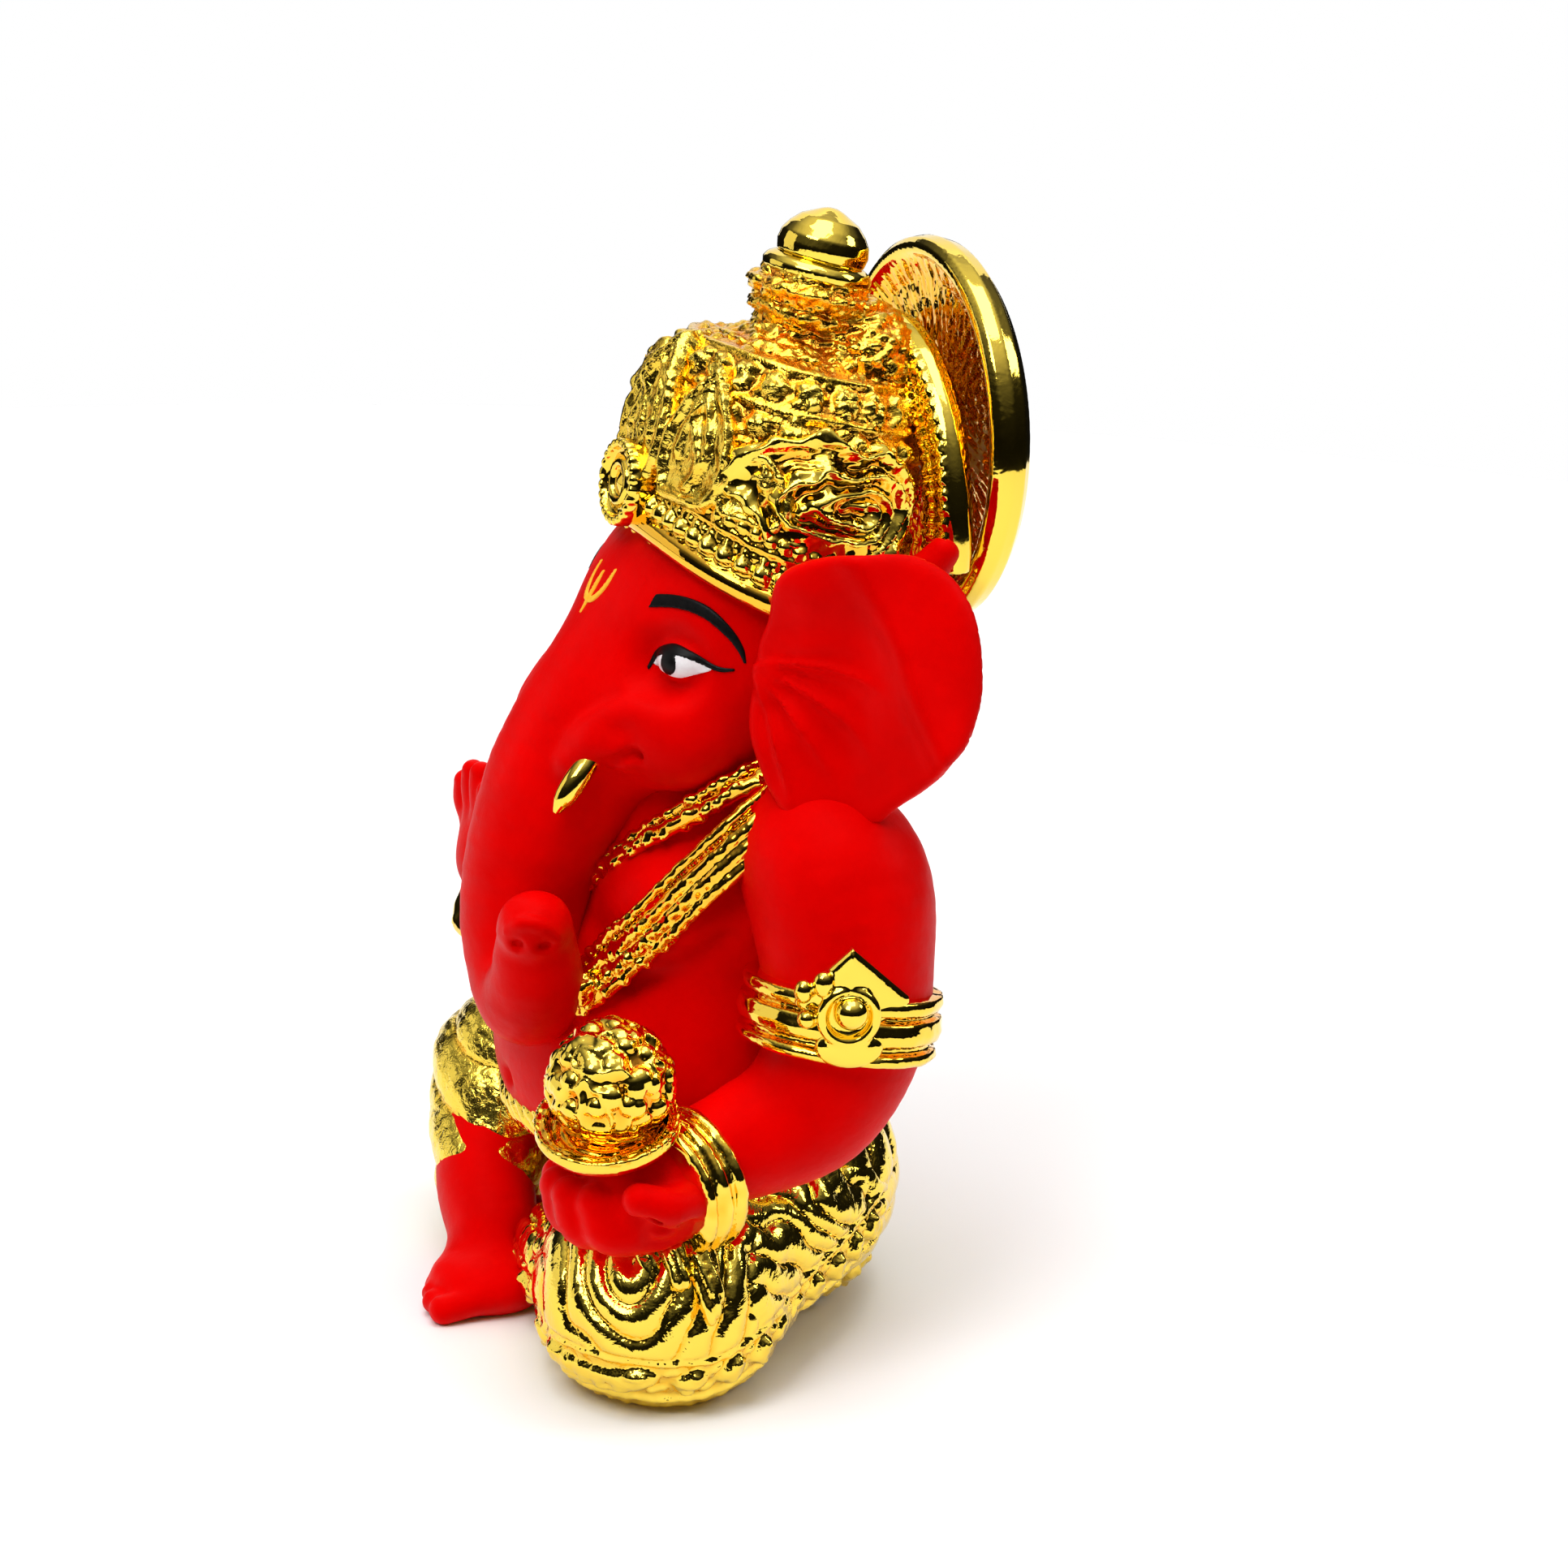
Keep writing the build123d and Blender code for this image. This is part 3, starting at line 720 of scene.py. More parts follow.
BRIDGE = Axis((0, -9.5, 56.8), (0, -0.92, 0.38), (1, 0, 0))
U_MARK = [(-1.5, 1.7, 0.12), (-1.4, 0.3, 0.2), (-0.8, -0.9, 0.24), (0, -1.2, 0.26), (0.8, -0.9, 0.24),
          (1.4, 0.3, 0.2), (1.5, 1.7, 0.12)]
MIDDLE_STROKE = [(0, 1.2, 0.10), (0, 0.2, 0.22), (0, -1.2, 0.22), (0, -2.3, 0.10)]
painted("forehead_mark", BRIDGE, lambda u, v: np.minimum(stroke(u, v, U_MARK), stroke(u, v, MIDDLE_STROKE)),
        vec(-3, -14, 52.5), vec(3, -5, 61), 0.10, YELLOW)


# ======== ears
EAR_SWEEP = math.radians(37)
EAR_OUTLINE = [
    (-0.6, -1.3), (-0.6, 3.1), (0.2, 5.6), (1.3, 9.0), (3.5, 10.6), (7.2, 11.6), (10.2, 11.4),
    (12.8, 9.8), (14.7, 7.0), (15.9, 3.2), (16.3, 0.4), (16.0, -2.2), (13.4, -5.0), (11.2, -6.8),
    (9.0, -9.0), (6.8, -10.4), (4.3, -9.2), (2.2, -7.3), (0.7, -4.8),
]
EAR_THICKNESS = 0.8


def ear_axis(side):
    root = vec(side * 13.0, -1.5, 52.0)
    return root, vec(side * math.cos(EAR_SWEEP), math.sin(EAR_SWEEP), 0), \
        vec(side * math.sin(EAR_SWEEP), -math.cos(EAR_SWEEP), 0)


def ear_field(side):
    root, out, face = ear_axis(side)
    outline = closed_spline(EAR_OUTLINE, 4)

    def field(p):
        q = p - root
        u, v, w = q @ out, q[:, 2], q @ face
        edge = polygon(u, v, outline)
        reach = np.hypot(u + 1.0, v - 2.0)
        angle = np.arctan2(v - 2.0 + 0.035 * reach * reach, u + 1.0)
        fan = step_up(angle, -1.15, -0.8) * (1 - step_up(angle, 0.35, 0.6))
        wrinkle = 0.95 * np.abs(np.sin(angle * 8.0 + 0.4)) ** 0.7 * step_up(reach, 1.8, 4.0)
        wrinkle = wrinkle * (1 - step_up(reach, 7.0, 12.0))
        lobe = 1.5 * step_up(-v, -2.0, 4.0) * (1 - step_up(u, 2.0, 7.0))
        upper = 0.9 * step_up(v, 5.0, 9.0) * (1 - step_up(u, 6.0, 11.0))
        hollow = 1.1 * step_up(u, 3.0, 8.5)
        flap = np.clip(0.86 * (u - 12.8) + 0.50 * (v - 3.0), 0, None)
        crest = 0.9 * np.exp(-((0.86 * (u - 12.4) + 0.50 * (v - 3.0)) / 1.5) ** 2) * step_up(v + u, 8.0, 13.0)
        centre = 0.8 + lobe + upper - hollow - 0.9 * flap + crest - (wrinkle - 0.5) * fan
        thick = np.abs(w - centre) - EAR_THICKNESS
        return both(edge * 0.9, thick * 0.8, 0.8)

    return field


for side, word in SIDES:
    sculpt_node("ear_" + word, "_fan", ear_field(side), 4, 4, 0.32, RED)


# ======== tusks
def tusk_field(side):
    back = 0.0 if side > 0 else 1.0
    route = [(side * 6.5, back - 12.6, 46.0, 0.8), (side * 6.9, back - 13.9, 44.6, 0.95),
             (side * 7.0, back - 14.9, 43.2, 0.85), (side * 6.9, back - 15.5, 42.1, 0.4)]
    return lambda p: limb(p, route)


for side, word in SIDES:
    sculpt_node("tusk_" + word, "_point", tusk_field(side), 2, 2, 0.2, GOLD_SMOOTH)


# ======== crown
CROWN = Axis((0, 1.2, 59.0), (0, 0.233, 0.972))
BAND_WIDTH = 14.0
BAND_FRONT = 9.9
BAND_REAR = 11.8
# height, half width, half depth ahead, half depth behind
DRUM_PROFILE = [
    (-1.0, 12.4, 9.0, 10.6), (4.0, 12.8, 9.3, 11.0), (8.5, 12.6, 9.4, 10.9), (12.5, 11.2, 8.9, 10.0),
    (14.6, 9.8, 8.0, 8.8), (15.8, 9.0, 7.2, 8.2),
]


def oval(x, y, half_x, half_y):
    near = np.sqrt((x / half_x) ** 2 + (y / half_y) ** 2)
    slope = np.sqrt((x / half_x ** 2) ** 2 + (y / half_y ** 2) ** 2)
    return near * (near - 1) / np.maximum(slope, 1e-6)


def on_drum(p):
    """Distance from the drum's wall, height up it, and distance round it from the front."""
    x, y, h = CROWN.local(p)
    heights, wide, ahead, behind = np.array(DRUM_PROFILE).T
    deep = np.where(y < 0, np.interp(h, heights, ahead), np.interp(h, heights, behind))
    wall = oval(x, y, np.interp(h, heights, wide), deep) * 0.9
    return wall, h, np.arctan2(x, -y) * 11.0


def bead_row(s, h, row, pitch, radius):
    off = (s / pitch - np.round(s / pitch)) * pitch
    return np.sqrt(np.clip(radius ** 2 - off ** 2 - (h - row) ** 2, 0, None))


# Painted shade from the relief: the lower the surface sits, the deeper orange the gold; the higher, the
# paler.
def relief_shade(low_edge, high_edge):
    return lambda p, n, height: np.clip((height - low_edge) / (high_edge - low_edge), 0, 1)


def drum_field(p):
    wall, h, _ = on_drum(p)
    return both(wall, np.abs(h - 7.7) - 7.9, 0.7)


def drum_relief(p, n):
    _, h, s = on_drum(p)
    grain = 0.40 * knobs_at(p * vec(1, 1, 1.2), 1.0, 11, 0.62) + 0.16 * noise(p, 0.6)
    rows = 0
    for level, depth in ((15.2, 0.45), (12.4, 0.40), (9.4, 0.40), (6.3, 0.35)):
        rows = np.maximum(rows, depth * np.exp(-((h - level + 0.15 * noise(p, 3.0)) / 0.26) ** 2))
    arcs = 0.55 * bead_row(s, h, 13.8, 2.9, 1.1) + 0.40 * bead_row(s + 1.2, h, 10.9, 2.5, 1.0)
    return np.maximum(grain, rows) + np.where(n @ CROWN.up < 0.7, arcs, 0)


sculpt("crown_drum_relief", drum_field, (-15, -13, 56), (15, 18, 79), 0.22, GOLD_GRAIN,
       relief=drum_relief, tone=relief_shade(-0.05, 0.75), replaces="crown_drum")


def band_edge(x, y):
    """Height of the band's lower edge: raised over the brow, low beside the ears."""
    ahead = np.clip(-y / np.maximum(np.hypot(x, y), 1e-6), 0, 1)
    return -2.2 + 2.7 * ahead ** 1.3


def band_wall(x, y, grow):
    return oval(x, y, BAND_WIDTH + grow, np.where(y < 0, BAND_FRONT, BAND_REAR) + grow)


def band_field(p):
    x, y, h = CROWN.local(p)
    above = h - band_edge(x, y)
    ring = np.abs(band_wall(x, y, -0.9)) - 0.8
    wall = both(ring, np.maximum(-above, h - 4.9), 0.4)
    fillet = np.hypot(band_wall(x, y, -0.35), (above - 0.75) * 0.85) - 0.8
    rim = np.hypot(band_wall(x, y, -0.25), above - 4.1) - 0.38
    return join(join(wall, fillet, 0.2), rim, 0.15)


def band_relief(p, n):
    x, y, h = CROWN.local(p)
    above = h - band_edge(x, y)
    s = np.arctan2(x, -y) * 13.0
    outward = ((n @ CROWN.x) * x + (n @ CROWN.y) * y) > 0
    beads = 1.0 * bead_row(s, above, 2.35, 1.5, 0.75) + 0.75 * bead_row(s + 0.75, above, 3.3, 0.75, 0.36)
    beads = beads + 0.7 * bead_row(s, above, 4.9, 1.1, 0.5)
    beads = beads + 0.10 * noise(p, 0.6, 9) * (above > 1.6)
    return np.where(outward, beads, 0)


sculpt("crown_band_beads", band_field, (-16, -14, 54), (16, 15, 68), 0.21, GOLD_SMOOTH,
       relief=band_relief, tone=relief_shade(-0.25, 0.5), replaces="crown_band")


TIER_OUTLINE = [
    (0, 15.2), (5.8, 15.2), (5.8, 15.9), (4.8, 16.4), (3.9, 16.9), (3.5, 17.5), (3.6, 18.1),
    (4.2, 18.5), (4.3, 18.9), (3.9, 19.2), (4.2, 19.6), (4.6, 20.0), (4.9, 20.4), (4.6, 20.7),
    (4.0, 21.0), (4.0, 21.6), (0, 21.6),
]


def tier_field(p):
    rings = turned(p, CROWN, TIER_OUTLINE)
    behind = ellipsoid(p, CROWN.world(0, 5.0, 16.2), (6.4, 4.6, 4.6), CROWN.frame())
    return join(rings, behind, 1.0)


def tier_relief(p, n):
    return 0.28 * knobs_at(p * vec(1, 1, 1.8), 0.9, 23, 0.6) + 0.16 * noise(p * vec(1, 1, 2), 0.7, 3)


sculpt_node("crown_tiers", "_rings", tier_field, 2, vec(2, 3, 1), 0.2, GOLD_GRAIN,
            relief=tier_relief, tone=relief_shade(-0.05, 0.4))

COLLAR_OUTLINE = [(0, 21.3), (3.7, 21.3), (4.05, 21.6), (4.15, 22.1), (3.9, 22.5), (3.4, 22.8), (0, 22.8)]
FINIAL_OUTLINE = [
    (0, 22.5), (2.95, 22.5), (3.35, 23.0), (3.5, 23.7), (3.35, 24.5), (2.9, 25.2), (2.2, 25.9), (1.4, 26.3),
    (0.8, 26.6), (0.35, 26.75), (0, 26.75),
]
sculpt_node("crown_collar", "_ring", lambda p: turned(p, CROWN, COLLAR_OUTLINE) - 0.05,
            1, 1, 0.18, GOLD_SMOOTH)
sculpt_node("crown_finial", "_knob", lambda p: turned(p, CROWN, FINIAL_OUTLINE),
            1, 1, 0.18, GOLD_SMOOTH)


# round-the-drum centre, base height, tip height, half width, lift off the drum
PETALS = [
    (12.2, 3.6, 9.6, 2.8, 0.55), (-12.2, 3.6, 9.6, 2.8, 0.55),
    (6.9, 3.6, 14.3, 3.5, 0.85), (-6.9, 3.6, 14.3, 3.5, 0.85), (0.0, 3.6, 15.8, 4.0, 1.15),
]


def petal_edge(s, h, centre, base, tip, half_width):
    """Distance in from the edge of a pointed leaf, negative inside."""
    t = np.clip((h - base) / (tip - base), 0, 1)
    width = half_width * np.sin(math.pi * np.clip(0.18 + 0.82 * t, 0, 1) ** 0.9) ** 0.8
    return np.maximum(np.abs(s - centre) - width, np.maximum(base - h, h - tip)) * 0.75


def crest_field(p):
    wall, h, s = on_drum(p)
    best = np.full(len(p), 1e3)
    for centre, base, tip, half_width, lift in PETALS:
        edge = petal_edge(s, h, centre, base, tip, half_width)
        inner = np.clip(-edge, 0, None)
        rim = 0.50 * np.exp(-((inner - 0.45) / 0.35) ** 2)
        vein = 0.40 * np.exp(-((s - centre + 0.8 * np.sin(h * 0.7)) / 0.45) ** 2) * (inner > 0.9)
        loop = 0.35 * np.exp(-((inner - 1.6) / 0.28) ** 2) * step_up(h, base + 2.5, base + 4.0)
        leaf = both(edge, np.maximum(wall - lift - rim - vein - loop, -wall - 0.6), 0.25)
        best = np.minimum(best, leaf)
    return best


def crest_relief(p, n):
    curls = ridge(1.3 * noise(p, 1.9, 32) + p[:, 2] / 1.6)
    return 0.14 * curls + 0.08 * noise(p, 0.8, 31) - 0.07


sculpt("crown_crest_petals", crest_field, (-16, -15, 58), (16, 6, 79), 0.2, GOLD_GRAIN,
       relief=crest_relief, tone=relief_shade(-0.3, 0.1), replaces="crown_crest")

MEDALLION = Axis((0, -8.2, 64.9), (0, -1, 0.12))
MEDALLION_OUTLINE = [
    (0, -2.4), (3.0, -2.4), (3.25, 0.3), (3.1, 0.9), (2.75, 1.0), (2.45, 0.5), (1.9, 0.5),
    (1.65, 0.9), (1.3, 0.9), (1.1, 0.5), (0.8, 0.55), (0, 0.85),
]


def medallion_relief(p, n):
    x, y, h = MEDALLION.local(p)
    s = np.arctan2(y, x) * 2.9
    radius = np.hypot(x, y)
    return 0.5 * bead_row(s, radius, 2.95, 0.75, 0.34) * (h > 0.2)


sculpt_node("crown_medallion", "_disc", lambda p: turned(p, MEDALLION, MEDALLION_OUTLINE) - 0.05,
            3, 4, 0.15, GOLD_SMOOTH, relief=medallion_relief, tone=relief_shade(-0.4, 0.1))

SWIRL_ROUND = 19.5
SWIRL_UP = 7.0


def scroll_place(p, side):
    wall, h, s = on_drum(p)
    across = side * s - SWIRL_ROUND
    return wall, across, h - SWIRL_UP


def scroll_field(side):
    def field(p):
        wall, across, up = scroll_place(p, side)
        half_length = np.where(across < 0, 10.0, 4.6)
        patch = oval(across, up + 0.06 * across, half_length, 4.5)
        return both(patch * 0.8, np.abs(wall) - 0.75, 0.6)
    return field


def scroll_relief(side):
    def relief(p, n):
        _, across, up = scroll_place(p, side)
        stretched = np.where(across < 0, across * 0.42, across)
        reach = np.hypot(stretched, up)
        turn = np.arctan2(up, stretched) / (2 * math.pi)
        strands = ridge(reach / 1.3 + turn + 0.55 * noise(p, 2.6, 17) + 0.2 * noise(p, 1.1, 19)) ** 1.2
        fine = ridge(reach / 0.45 + 0.8 * noise(p, 1.4, 18))
        return 1.0 * strands + 0.15 * fine + 0.25 * noise(p, 2.0, 16) - 0.4
    return relief


for side, word in SIDES:
    node = "crown_scroll_" + word
    lo, hi = mirrored_box((2, -12, 58), (16, 14, 75), side)
    sculpt(node + "_swirl", scroll_field(side), lo, hi, 0.19, GOLD_SMOOTH,
           relief=scroll_relief(side), tone=relief_shade(-0.45, 0.3), replaces=node)


def rib_field(p):
    x, y, z = p[:, 0], p[:, 1], p[:, 2]
    arch = np.hypot(oval(x, z - 62.0, 12.4, 14.0), (y - 13.0) * 0.9) - 1.2
    step = np.hypot(oval(x, z - 62.0, 11.0, 12.6), y - 12.2) - 0.9
    return np.maximum(join(arch, step, 0.3), 60.0 - z)


def rib_relief(p, n):
    arc = np.arctan2(p[:, 0], p[:, 2] - 62.0) * 13.0
    return np.where(p[:, 1] < 12.0, 0.5 * bead_row(arc, 0 * arc, 0, 1.1, 0.45), 0)


sculpt("crown_rib_arch", rib_field, (-15, 10, 59), (15, 16, 79), 0.22, GOLD_SMOOTH,
       relief=rib_relief, replaces="crown_rib")

# ======== halo disc
HALO_CENTRE = vec(0, 15.8, 67.9)
HALO_OUTLINE = [
    (0, -0.9), (8.0, -0.7), (11.5, -0.3), (13.0, 0.4), (13.5, 0.85), (14.1, 0.9), (14.6, 0.4), (14.75, -0.6),
    (14.4, -1.7), (13.4, -2.5), (10.5, -3.3), (6.0, -3.8), (0, -4.0),
]
HALO = Axis(HALO_CENTRE, (0, -1, 0))


def halo_front(p, n):
    x, y, _ = HALO.local(p)
    radius = np.hypot(x, y)
    front = step_up(-n[:, 1], 0.5, 0.8) * (1 - step_up(radius, 12.6, 13.3))
    angle = np.arctan2(y, x)
    rays = 0.45 * np.sin(angle * 97 + 3 * noise(p, 2.0)) + 0.35 * np.sin(angle * 151 + 4 * noise(p, 3.0, 4))
    rays = rays + 0.3 * np.sin(angle * 43 + radius)
    return front, rays


def halo_relief(p, n):
    front, rays = halo_front(p, n)
    return front * (0.13 * rays + 0.08 * noise(p, 0.7, 6))


# Painted shade: the halo's front face, deepest in the grooves between its rays, is coloured deeper orange
# than its pale rim and back.
def halo_shade(p, n, height):
    front, rays = halo_front(p, n)
    return 1.0 - front * np.clip(0.62 - 0.45 * rays, 0.1, 1.0)


sculpt_node("halo_disc", "_dish", lambda p: turned(p, HALO, HALO_OUTLINE),
            2, 2, 0.22, GOLD_SMOOTH, relief=halo_relief, tone=halo_shade)


# ======== hands
def hand_left_field(p):
    palm = ellipsoid(p, vec(20.6, -12.6, 16.6), (4.6, 5.4, 3.9))
    wrist = limb(p, [(20.4, -7.6, 19.0, 3.7), (20.5, -11.0, 17.6, 3.6)])
    hand = join(palm, wrist, 1.5)
    for x, reach, drop in ((23.0, 16.6, 0.0), (21.2, 17.8, 0.1), (19.2, 18.0, 0.0), (17.4, 17.2, 0.1)):
        finger = limb(p, [
            (x, -13.0, 15.2 - drop, 1.9), (x - 0.3, -reach + 0.4, 15.0 - drop, 1.75),
            (x - 0.8, -reach - 0.8, 17.2, 1.4),
        ])
        hand = join(hand, finger, 0.45)
    thumb = limb(p, [(24.3, -10.4, 17.4, 1.7), (25.6, -12.8, 17.6, 1.5), (25.4, -15.2, 18.4, 1.25)])
    hand = join(hand, thumb, 0.5)
    curl = limb(p, [
        (25.6, -16.0, 16.4, 0.2), (26.0, -14.4, 17.2, 0.35), (26.0, -12.2, 17.0, 0.45),
        (25.4, -11.0, 15.6, 0.45), (24.8, -12.2, 14.4, 0.4), (24.8, -13.8, 14.6, 0.35),
        (25.2, -14.2, 15.6, 0.3), (25.4, -13.2, 16.0, 0.3),
    ])
    return carve(hand, curl, 0.7)


def hand_right_field(p):
    palm = ellipsoid(p, vec(-21.0, -11.4, 30.6), (3.7, 1.9, 3.9))
    wrist = limb(p, [(-20.6, -9.2, 25.8, 3.2), (-20.8, -10.8, 28.8, 2.8)])
    hand = join(palm, wrist, 1.5)
    for x, top, lean in ((-23.6, 34.8, -0.5), (-22.0, 36.2, -0.2), (-20.3, 36.6, 0.1), (-18.8, 35.6, 0.4)):
        finger = limb(p, [
            (x + 0.1, -11.6, 32.0, 1.25), (x + lean, -12.0, top - 1.5, 1.15), (x + lean, -12.2, top, 0.95),
        ])
        hand = join(hand, finger, 0.4)
    thumb = limb(p, [(-18.0, -11.4, 29.0, 1.3), (-16.6, -12.4, 31.6, 1.1), (-16.4, -12.8, 33.4, 0.8)])
    return join(hand, thumb, 0.5)


sculpt("hand_left_palm", hand_left_field, (13, -24, 10), (30, -5, 25), 0.26, RED, replaces="hand_left")
sculpt("hand_right_palm", hand_right_field, (-29, -17, 20), (-12, -4, 42), 0.26, RED,
       replaces="hand_right")

# ======== dish and heap of sweets
DISH = Axis((20.2, -15.6, 20.6), (0.24, -0.20, 0.95))
DISH_OUTLINE = [
    (0, 0), (2.6, 0.0), (4.2, 0.6), (5.0, 1.3), (5.3, 1.9), (5.1, 2.5), (4.6, 2.4), (4.0, 1.8), (0, 1.4),
]
HEAP_CENTRE = middle("modak_heap") + vec(0.3, 0, 0.2)
HEAP_RADIUS = 4.6


def dish_relief(p, n):
    x, y, _ = DISH.local(p)
    radius = np.hypot(x, y)
    inside = (radius < 5.2) & (n @ DISH.up > 0.2)
    return np.where(inside, 0.25 * ridge(radius / 0.7) + 0.12 * noise(p, 0.6, 8), 0.04 * noise(p, 1.2, 7))


# Painted shade: the inside of the bowl is deep orange, paler on its ridges; the outside is pale.
def dish_shade(p, n, height):
    x, y, _ = DISH.local(p)
    inside = (np.hypot(x, y) < 5.2) & (n @ DISH.up > 0.2)
    return np.where(inside, 0.1 + 1.2 * np.clip(height, 0, 1), 0.9)


def heap_field(p):
    return ellipsoid(p, HEAP_CENTRE, (HEAP_RADIUS, HEAP_RADIUS, HEAP_RADIUS * 1.02))


def heap_relief(p, n):
    knobs = 0.75 * np.sqrt(knobs_at(p, 1.7, 41, 1.05))
    worms = 0.7 * (1 - np.abs(noise(p, 1.5, 44))) ** 3
    flat = step_up(-(p[:, 2] - HEAP_CENTRE[2]), 0.5, 2.2)
    return (np.maximum(knobs, worms) - 0.45) * (1 - 0.75 * flat)


sculpt_node("modak_dish", "_bowl", lambda p: turned(p, DISH, DISH_OUTLINE) - 0.05,
            2, 2, 0.18, GOLD_SMOOTH, relief=dish_relief, tone=dish_shade)
sculpt_node("modak_heap", "_knobs", heap_field, 1, 1, 0.15, GOLD_SMOOTH,
            relief=heap_relief, tone=relief_shade(-0.45, 0.2))


# ======== armlets and bangles
ARMLET_OUTLINE = [
    (4.5, -2.5), (6.7, -2.5), (7.3, -2.4), (7.45, -1.9), (7.3, -1.45), (6.75, -1.25), (6.75, -0.95),
    (7.4, -0.8), (7.6, 0.1), (7.4, 0.75), (6.75, 0.9), (6.75, 1.45), (7.3, 1.6), (7.45, 2.0),
    (7.2, 2.35), (6.7, 2.5), (4.5, 2.5),
]
BANGLE_OUTLINE = [
    (2.6, -1.9), (4.9, -1.9), (5.3, -1.75), (5.45, -1.35), (5.25, -0.95), (4.9, -0.75), (5.05, -0.4),
    (5.5, 0.0), (5.5, 0.5), (5.15, 0.85), (5.05, 1.0), (5.35, 1.3), (5.3, 1.75), (4.9, 1.95), (2.6, 1.95),
]


WRISTS = {
    1: Axis((20.8, -10.1, 17.3), (0.34, -0.93, -0.14)),
    -1: Axis((-20.6, -9.0, 25.9), (0, -0.75, 0.66)),
}


def boss_field(axis):
    """Ball in an open cup, with a peaked leaf above, two links beside it and a lobe below."""
    def field(p):
        x, y, h = axis.local(p)
        reach = 2.6 * np.clip((5.0 - y) / 4.6, 0, 1) * np.clip((y + 3.2) / 3.2, 0, 1)
        leaf_edge = (np.where(x > 0, 0.55 * x, -0.7 * x) - reach) * 0.75
        leaf = both(leaf_edge, np.abs(h + 0.3 - 0.12 * y + 0.38 * np.abs(x)) - 0.8, 0.6)
        lobe = ellipsoid(p, axis.world(0.2, -2.9, -0.3), (2.5, 1.6, 1.0), axis.frame())
        cup = np.hypot(np.hypot(x, y + 0.3) - 1.95, h - 0.35) - 0.42
        floor = both(np.hypot(x, y + 0.3) - 2.0, np.abs(h + 0.5) - 0.7, 0.2)
        ball = size_of(p - axis.world(0.1, 0.1, 0.65)) - 1.25
        links = ellipsoid(p, axis.world(-1.9, 2.1, 0.2), (0.8, 1.0, 0.7), axis.frame())
        links = np.minimum(links, ellipsoid(p, axis.world(-3.3, 1.5, 0.0), (0.7, 0.9, 0.7), axis.frame()))
        links = np.minimum(links, ellipsoid(p, axis.world(-3.0, -0.6, 0.0), (0.7, 0.7, 0.7), axis.frame()))
        body = join(join(leaf, lobe, 0.3), join(cup, floor, 0.15), 0.2)
        return join(np.minimum(body, links), ball, 0.08)
    return field


for side, word in SIDES:
    band = Axis((side * 20.2, 2.1, 29.1), (side * 0.10, -0.15, -1))
    # painted shade: faces of the armlet band that point up or down are coloured deep orange, its sides pale
    sculpt_node("armlet_" + word, "_band", lambda p: turned(p, band, ARMLET_OUTLINE) - 0.05,
                3, 3, 0.22, GOLD_SMOOTH, relief=lambda p, n: 0.06 * noise(p, 1.0, 12),
                tone=lambda p, n, height: np.where(np.abs(n[:, 2]) > 0.75, 0.15, 0.9))
    boss_y, boss_turn = (-0.3, -0.28) if side > 0 else (1.6, -0.05)
    face = Axis((side * 27.1, boss_y, 31.9), (side * 0.96, boss_turn, 0), (side * 0.28, 0.96, 0))
    # the leaf points up on both sides
    face.y = face.y * np.sign(face.y[2])
    sculpt_node("armlet_boss_" + word, "_leaf", boss_field(face), 3, 3, 0.16, GOLD_SMOOTH)
    wrist = WRISTS[side]
    sculpt_node("bangle_" + word, "_ring", lambda p: turned(p, wrist, BANGLE_OUTLINE) - 0.05,
                3, 3, 0.2, GOLD_SMOOTH, relief=lambda p, n: 0.08 * noise(p, 0.9, 14),
                tone=relief_shade(-0.12, 0.02))


# ======== necklaces
def mirrored_route(half):
    """A hanging line from one shoulder to the other, from the stations of its left half."""
    return spline([(-x, y, z) for x, y, z in half[:0:-1]] + list(half), 4)


def around(route, offset):
    """The route moved sideways over the chest by offset mm."""
    rows = np.asarray(route)
    along = np.gradient(rows, axis=0)
    out = gradient(torso_field, rows, 0.3)
    side = np.cross(out, along)
    side /= size_of(side)[:, None]
    return rows + side * offset


def cord(p, route, radius):
    return tube(p, np.column_stack([route, np.full(len(route), radius)]))


UPPER_ROUTE = mirrored_route([
    (0.0, -11.8, 33.0), (3.4, -11.3, 35.2), (6.0, -10.4, 37.4), (8.6, -8.8, 39.8), (10.8, -6.8, 41.8),
    (12.6, -4.4, 43.9), (13.2, -1.4, 45.6), (11.4, 2.4, 46.4), (7.0, 6.8, 46.8), (0.0, 8.6, 46.8),
])
LOWER_ROUTE = mirrored_route([
    (0.0, -15.4, 23.6), (3.6, -14.8, 25.2), (7.2, -13.2, 28.0), (9.8, -11.4, 31.2), (11.8, -9.4, 34.2),
    (13.4, -7.4, 37.2), (14.8, -5.2, 40.0), (15.2, -2.4, 42.6), (13.6, 2.0, 44.6), (8.5, 7.6, 45.0),
    (0.0, 9.8, 45.0),
])


def strand_beads(pitch, at_shoulder, at_front, salt):
    """Fine cast beads, bolder towards the hanging front of the strand."""
    def relief(p, n):
        height = at_front + (at_shoulder - at_front) * step_up(p[:, 2], 31.0, 36.0)
        return height * knobs_at(p, pitch, salt, 0.62 * pitch)
    return relief


def necklace_upper_field(p):
    beads = cord(p, UPPER_ROUTE, 0.62)
    edge = cord(p, around(UPPER_ROUTE, 1.15), 0.34)
    return join(beads, edge, 0.25)


